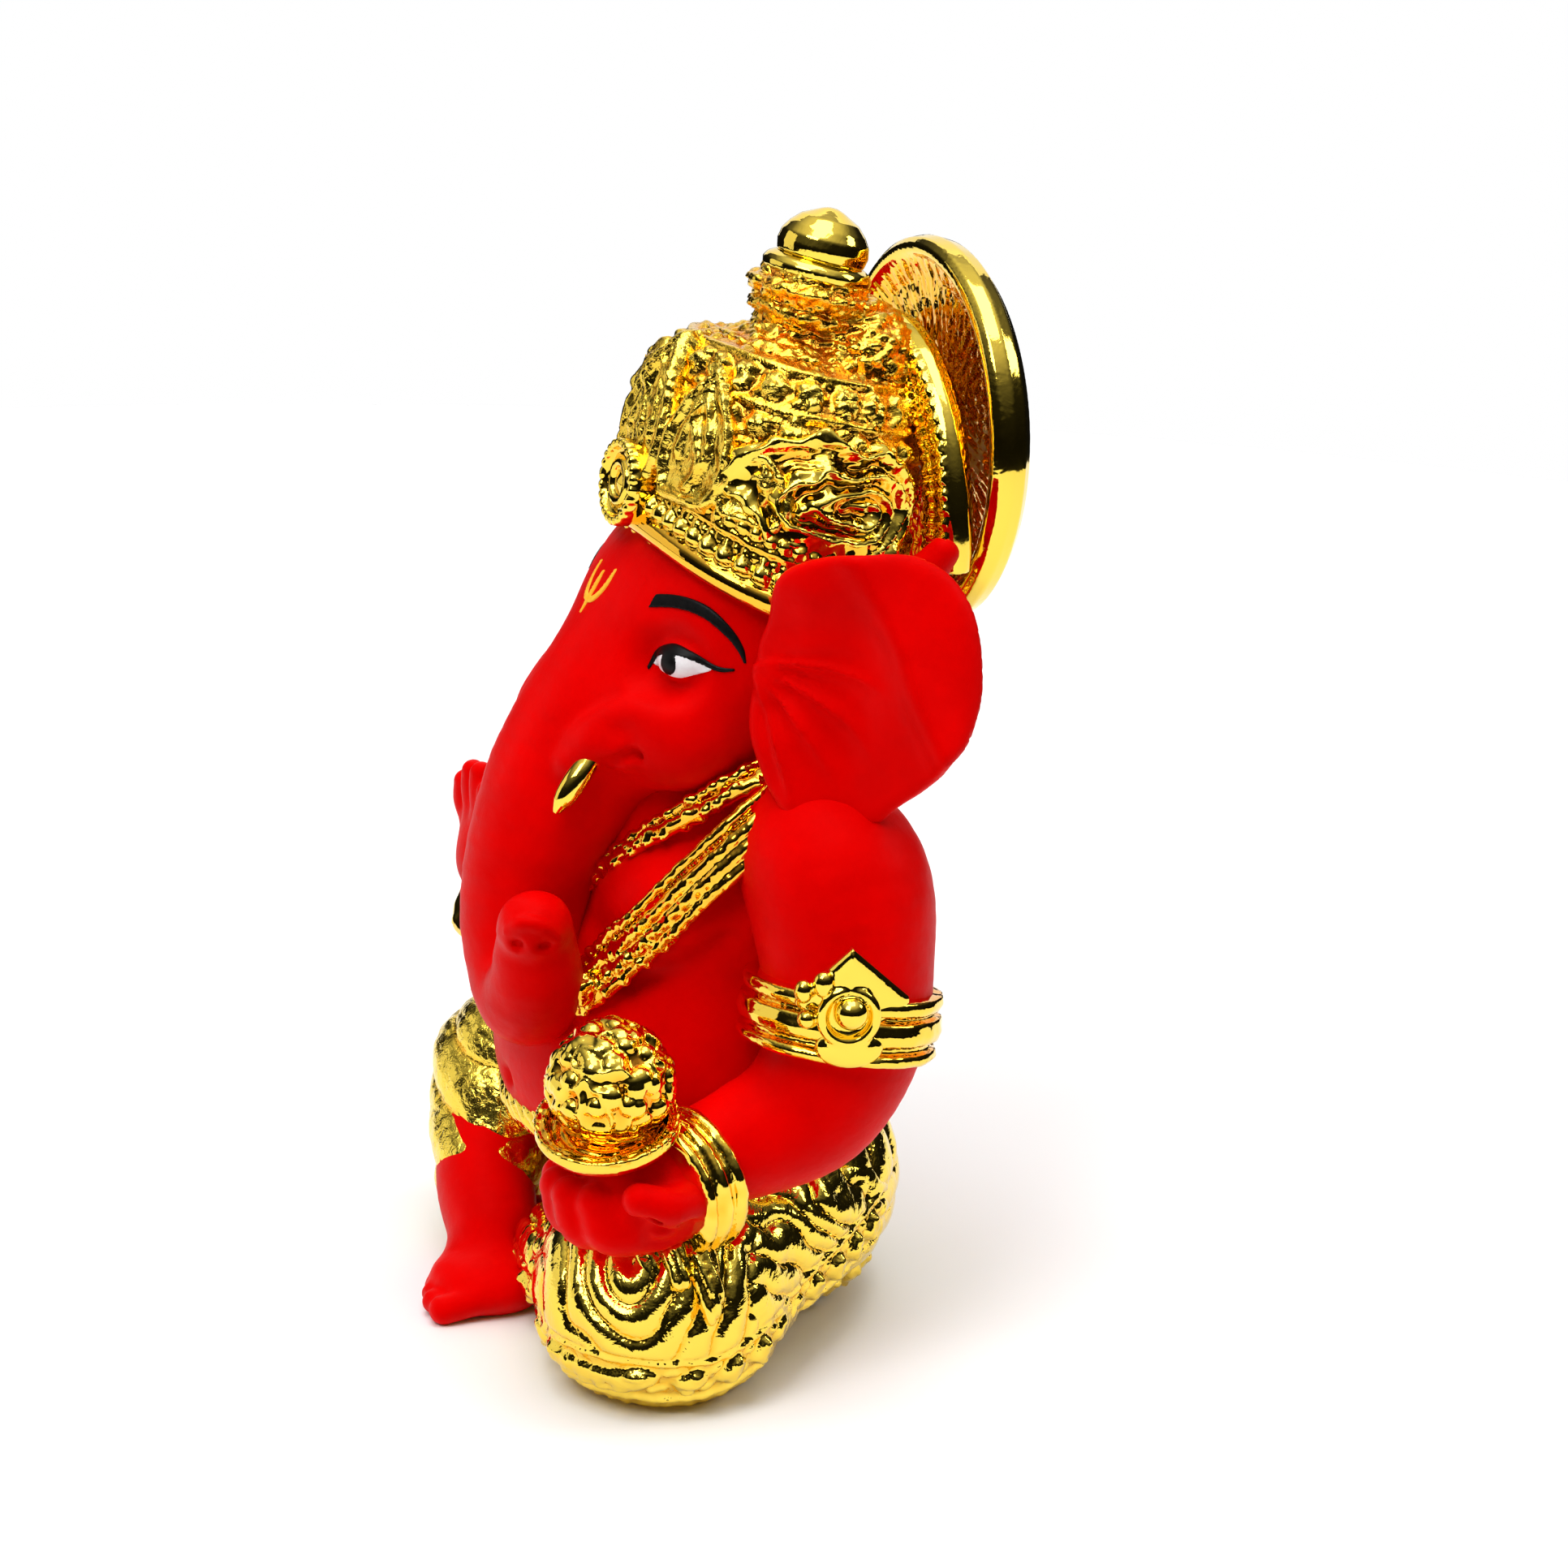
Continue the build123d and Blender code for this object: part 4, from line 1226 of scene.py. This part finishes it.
def necklace_lower_field(p):
    top_edge = cord(p, around(LOWER_ROUTE, -1.45), 0.46)
    core = np.minimum(cord(p, around(LOWER_ROUTE, -0.5), 0.6), cord(p, around(LOWER_ROUTE, 0.5), 0.6))
    low_edge = cord(p, around(LOWER_ROUTE, 1.7), 0.4)
    cluster = np.minimum(size_of(p - vec(8.4, -13.6, 28.4)) - 1.1, size_of(p - vec(7.4, -14.4, 27.0)) - 0.9)
    return join(join(join(top_edge, core, 0.2), low_edge, 0.2), cluster, 0.3)


sculpt("necklace_upper_strand", necklace_upper_field, (-15, -14, 29), (15, 11, 50), 0.2, GOLD_SMOOTH,
       relief=strand_beads(0.95, 0.28, 0.40, 61), tone=relief_shade(-0.1, 0.35), replaces="necklace_upper")
sculpt("necklace_lower_strand", necklace_lower_field, (-18, -18, 20), (18, 12, 48), 0.2, GOLD_SMOOTH,
       relief=strand_beads(0.85, 0.10, 0.36, 63), tone=relief_shade(-0.1, 0.3), replaces="necklace_lower")


# ======== draped legs, seat and sash
def legs_smooth_left(p):
    knee = ellipsoid(p, vec(16.4, -9.8, 6.8), (9.4, 9.0, 8.4))
    thigh = limb(p, [(8.0, 5, 9.2, 6.6), (12.4, -1.0, 8.8, 7.0), (15.5, -8, 7.4, 7.6)])
    calf = limb(p, [(15, -10.4, 6.4, 6.0), (9, -11.8, 5.6, 4.9), (3, -12.2, 4.6, 3.9), (0, -12.0, 4.4, 3.4)])
    return np.maximum(join(join(knee, thigh, 3.0), calf, 2.5), -p[:, 2])


def legs_smooth_right(p):
    knee = ellipsoid(p, vec(-14.2, -10.4, 13.4), (6.2, 6.2, 6.6))
    thigh = limb(p, [(-8.5, 5, 8.6, 6.8), (-12.5, -2.5, 9.8, 6.8), (-14.0, -9.4, 12.6, 6.0)])
    shin = limb(p, [(-14.0, -11.0, 13, 5.7), (-11.6, -13.2, 9.4, 5.0), (-9.2, -14.4, 7.4, 4.4)])
    return np.maximum(join(join(knee, thigh, 2.5), shin, 2.5), -p[:, 2])


def seat_field(p):
    seat = ellipsoid(p, vec(0, 2.8, 9.6), (14.8, 12.2, 11.0))
    return np.maximum(seat, -p[:, 2])


def crease(x):
    """Rounded swell with a sharp valley once every unit of x."""
    return np.sqrt(np.abs(np.sin(math.pi * x)))


KNEE_LOOP = vec(24.2, -15.2, 12.0)


def hem_relief(p, above, s):
    """Embossed border: two thin rims with studs and rosettes between them."""
    rims = 0.45 * np.exp(-((above - 0.4) / 0.22) ** 2) + 0.35 * np.exp(-((above - 3.9) / 0.25) ** 2)
    rims = rims + 0.3 * np.exp(-((above + 0.5) / 0.2) ** 2)
    studs = 0.8 * bead_row(s, above, 2.2, 2.6, 0.95) + 0.7 * bead_row(s + 1.3, above, 1.4, 1.3, 0.4)
    studs = studs + 0.7 * bead_row(s + 1.3, above, 3.0, 1.3, 0.4)
    return rims + studs + 0.12 * noise(p, 0.6, 53)


def leg_left_relief(p, n):
    q = p - KNEE_LOOP
    from_knee = np.hypot(1.35 * (0.4 * q[:, 0] + 0.92 * q[:, 1]), np.where(q[:, 2] > 0, 0.35, 0.85) * q[:, 2])
    warp = 0.60 * noise(p, 5.5, 51) + 0.14 * noise(p, 1.8, 52)
    loops = crease(from_knee / 2.5 + warp)
    rays = crease((p[:, 2] * 0.75 + p[:, 1] * 0.55) / 1.9 + 0.9 * noise(p, 4.0, 54) + 0.2 * noise(p, 1.5, 55))
    at_hip = step_up(p[:, 1], -7.0, -3.5)
    folds = 0.62 * (loops * (1 - at_hip) + rays * at_hip) - 0.25
    edge = 1.2 + 0.30 * np.clip(p[:, 1] + 9.0, 0, None)
    above = p[:, 2] - edge
    s = p[:, 1] * 0.8 - p[:, 0] * 0.5
    hem = step_up(-above, -4.6, -4.0) * step_up(n[:, 0] - 0.6 * n[:, 1], 0.1, 0.4)
    front_edge = step_up(-p[:, 0], -10.6, -9.9) * step_up(p[:, 0], 6.9, 7.6) * step_up(-p[:, 1], 11.0, 13.0)
    side_studs = 0.30 + 0.6 * bead_row(p[:, 2], p[:, 0], 8.8, 1.6, 0.6)
    out = folds * (1 - hem) + hem_relief(p, above, s) * hem
    return out * (1 - front_edge) + side_studs * front_edge


def leg_right_relief(p, n):
    lobes = crease(p[:, 2] / 4.6 + 0.05 * p[:, 0] + 0.10 * noise(p, 4.0, 61))
    fine = crease((p[:, 2] * 0.4 + p[:, 1] * 0.9) / 2.2 + 0.5 * noise(p, 2.4, 62))
    return 0.70 * lobes + 0.14 * fine - 0.45 + 0.06 * noise(p, 0.9, 63)


def seat_relief(p, n):
    angle = np.arctan2(p[:, 0], p[:, 1] - 2.0)
    hang = crease(angle * 3.4 + 0.25 * noise(p, 4.0, 71) + 0.05 * p[:, 2])
    swags = crease((p[:, 2] + 2.2 * np.abs(np.sin(angle * 1.5))) / 2.6 + 0.2 * noise(p, 3.0, 72))
    mix = step_up(p[:, 2], 9.0, 13.0)
    border = step_up(-p[:, 2], -4.6, -4.0)
    folds = 0.6 * (hang * mix + swags * (1 - mix)) - 0.25
    return folds * (1 - border) + hem_relief(p, p[:, 2] - 0.8, angle * 11) * border


sculpt("leg_left_drape", legs_smooth_left, (1, -20, 0), (28, 14, 17), 0.21, GOLD_FOLDS,
       relief=leg_left_relief, tone=relief_shade(-0.35, 0.15), replaces="leg_left")
sculpt("leg_right_drape", legs_smooth_right, (-24, -21, 0), (-1, 14, 21), 0.21, GOLD_GRAIN,
       relief=leg_right_relief, tone=relief_shade(-0.45, 0.0), replaces="leg_right")
sculpt("seat_drape", seat_field, (-18, -10, 0), (18, 17, 21), 0.24, GOLD_FOLDS,
       relief=seat_relief, tone=relief_shade(-0.35, 0.15), replaces="seat")


def sash_field(p):
    x, y, z = p[:, 0], p[:, 1], p[:, 2]
    sash = np.hypot(oval(x, y + 0.6, 15.0, 14.2), (z - 16.8 - 0.05 * y) * 0.8) - 1.2
    for route in (
        [(19.6, -11.6, 14.6, 1.0), (21.6, -13.0, 12.6, 1.15), (22.8, -12.6, 9.8, 1.2),
         (22.6, -13.6, 7.6, 0.9)],
        [(21.4, -9.2, 15.0, 0.9), (23.6, -9.6, 12.8, 1.0), (25.4, -9.4, 10.4, 0.9), (26.0, -9.6, 8.8, 0.5)],
        [(20.6, -10.4, 14.8, 0.9), (23.0, -11.4, 13.2, 0.9), (24.6, -11.4, 11.4, 0.7)],
    ):
        sash = join(sash, limb(p, route), 0.3)
    return sash


def sash_relief(p, n):
    arc = np.arctan2(p[:, 1], p[:, 0]) * 15
    twist = crease((arc + p[:, 2] * 1.5) / 1.5)
    strands = crease((p[:, 1] * 1.2 + p[:, 2] * 0.35) / 0.9 + 0.15 * noise(p, 1.5, 81))
    on_tail = step_up(-p[:, 2], -15.6, -14.6)
    return 0.30 * (twist * (1 - on_tail) + strands * on_tail) - 0.12 + 0.08 * noise(p, 0.8, 82)


sculpt_node("waist_sash", "_roll", sash_field, vec(2, 2, 10), vec(10, 2, 2), 0.2, GOLD_FOLDS,
            relief=sash_relief, tone=relief_shade(-0.2, 0.15))


# ======== feet
def foot_right_field(p):
    shin = limb(p, [(-11.0, -14.0, 9.5, 4.0), (-7.5, -15.4, 6.6, 3.9), (-3.5, -16.0, 4.2, 3.6)])
    foot = ellipsoid(p, vec(0.0, -17.4, 1.9), (4.4, 4.8, 2.6))
    foot = join(foot, shin, 1.8)
    toes = ((3.0, 22.2, 1.15), (1.3, 22.4, 0.95), (-0.2, 22.0, 0.9), (-1.5, 21.4, 0.85), (-2.7, 20.6, 0.8))
    for x, reach, r in toes:
        toe = limb(p, [(x, -19.0, 1.6, r), (x, -reach, 1.1, r)])
        foot = join(foot, toe, 0.5)
    return np.maximum(foot, -p[:, 2])


def foot_left_field(p):
    foot = ellipsoid(p, vec(-7.4, -10.8, 2.0), (6.2, 3.2, 2.6))
    for i in range(5):
        toe = limb(p, [(-11.5, -12.4 + 0.85 * i, 1.6, 0.8), (-13.4 + 0.25 * i, -12.8 + 0.9 * i, 1.3, 0.7)])
        foot = join(foot, toe, 0.4)
    return np.maximum(foot, -p[:, 2])


sculpt("foot_right_skin", foot_right_field, (-16, -25, 0), (6, -9, 15), 0.28, RED, replaces="foot_right")
sculpt("foot_left_skin", foot_left_field, (-16, -16, 0), (0, -6, 6), 0.28, RED, replaces="foot_left")


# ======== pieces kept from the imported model
for node, material in (
    ("base_pad", FELT), ("base_plug", RESIN), ("waist_peg", RESIN), ("neck_peg", RESIN), ("crown_peg", RESIN),
    ("halo_stud", RESIN), ("shoulder_peg_left", RESIN), ("shoulder_peg_right", RESIN),
):
    for slot_index in range(len(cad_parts[node].material_slots)):
        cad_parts[node].material_slots[slot_index].material = material


# ======== floor and light
def floor_disc(radius, sides=96):
    """Round white table top under the figure."""
    mesh = bpy.data.meshes.new("floor")
    rim = [(radius * math.cos(2 * math.pi * i / sides), radius * math.sin(2 * math.pi * i / sides), 0)
           for i in range(sides)]
    mesh.from_pydata(rim, [], [tuple(range(sides))])
    disc = bpy.data.objects.new("floor", mesh)
    bpy.context.scene.collection.objects.link(disc)
    mesh.materials.append(new_material("floor", lambda tree, at_mm: {
        "Base Color": (0.90, 0.90, 0.90, 1), "Roughness": 0.9, "Specular IOR Level": 0.1,
    }))


FLOOR_RADIUS = 0.33
floor_disc(FLOOR_RADIUS)


def soft_box(name, azimuth, elevation, distance, size, power):
    """Square area light aimed at the middle of the figure."""
    light = bpy.data.lights.new(name, "AREA")
    light.shape = "SQUARE"
    light.size = size
    light.energy = power
    lamp = bpy.data.objects.new(name, light)
    a, e = math.radians(azimuth), math.radians(elevation)
    towards = Vector((math.sin(a) * math.cos(e), -math.cos(a) * math.cos(e), math.sin(e)))
    lamp.location = CAMERA_TARGET + towards * distance
    lamp.rotation_euler = towards.to_track_quat("Z", "Y").to_euler()
    lamp.visible_camera = False
    bpy.context.scene.collection.objects.link(lamp)


soft_box("key", 36, 50, 0.8, 0.34, 2.8)
soft_box("top", 80, 84, 0.9, 0.6, 5.0)
soft_box("rim", 165, 35, 0.9, 0.25, 1.2)
soft_box("side", -32, 12, 0.8, 0.55, 0.9)
soft_box("backdrop", 247, 24, 1.0, 0.9, 2.6)

world = bpy.data.worlds.new("studio")
world.use_nodes = True
tree = world.node_tree
tree.nodes.clear()
where = add_node(tree, "TexCoord")
height = add_node(tree, "SeparateXYZ", {0: where.outputs["Generated"]}).outputs["Z"]
sky = ramp_node(tree, height, (0.0, 0.006), (0.32, 0.015), (0.60, 0.14), (0.9, 0.85))
around_light = add_node(tree, "Background", {"Color": sky})
seen = add_node(tree, "Background", {"Color": (1, 1, 1, 1), "Strength": 1.0})
camera_ray = add_node(tree, "LightPath").outputs["Is Camera Ray"]
pick = add_node(tree, "MixShader", {0: camera_ray, 1: around_light.outputs[0], 2: seen.outputs[0]})
add_node(tree, "OutputWorld", {0: pick.outputs[0]})
bpy.context.scene.world = world
bpy.context.scene.view_settings.view_transform = "Standard"
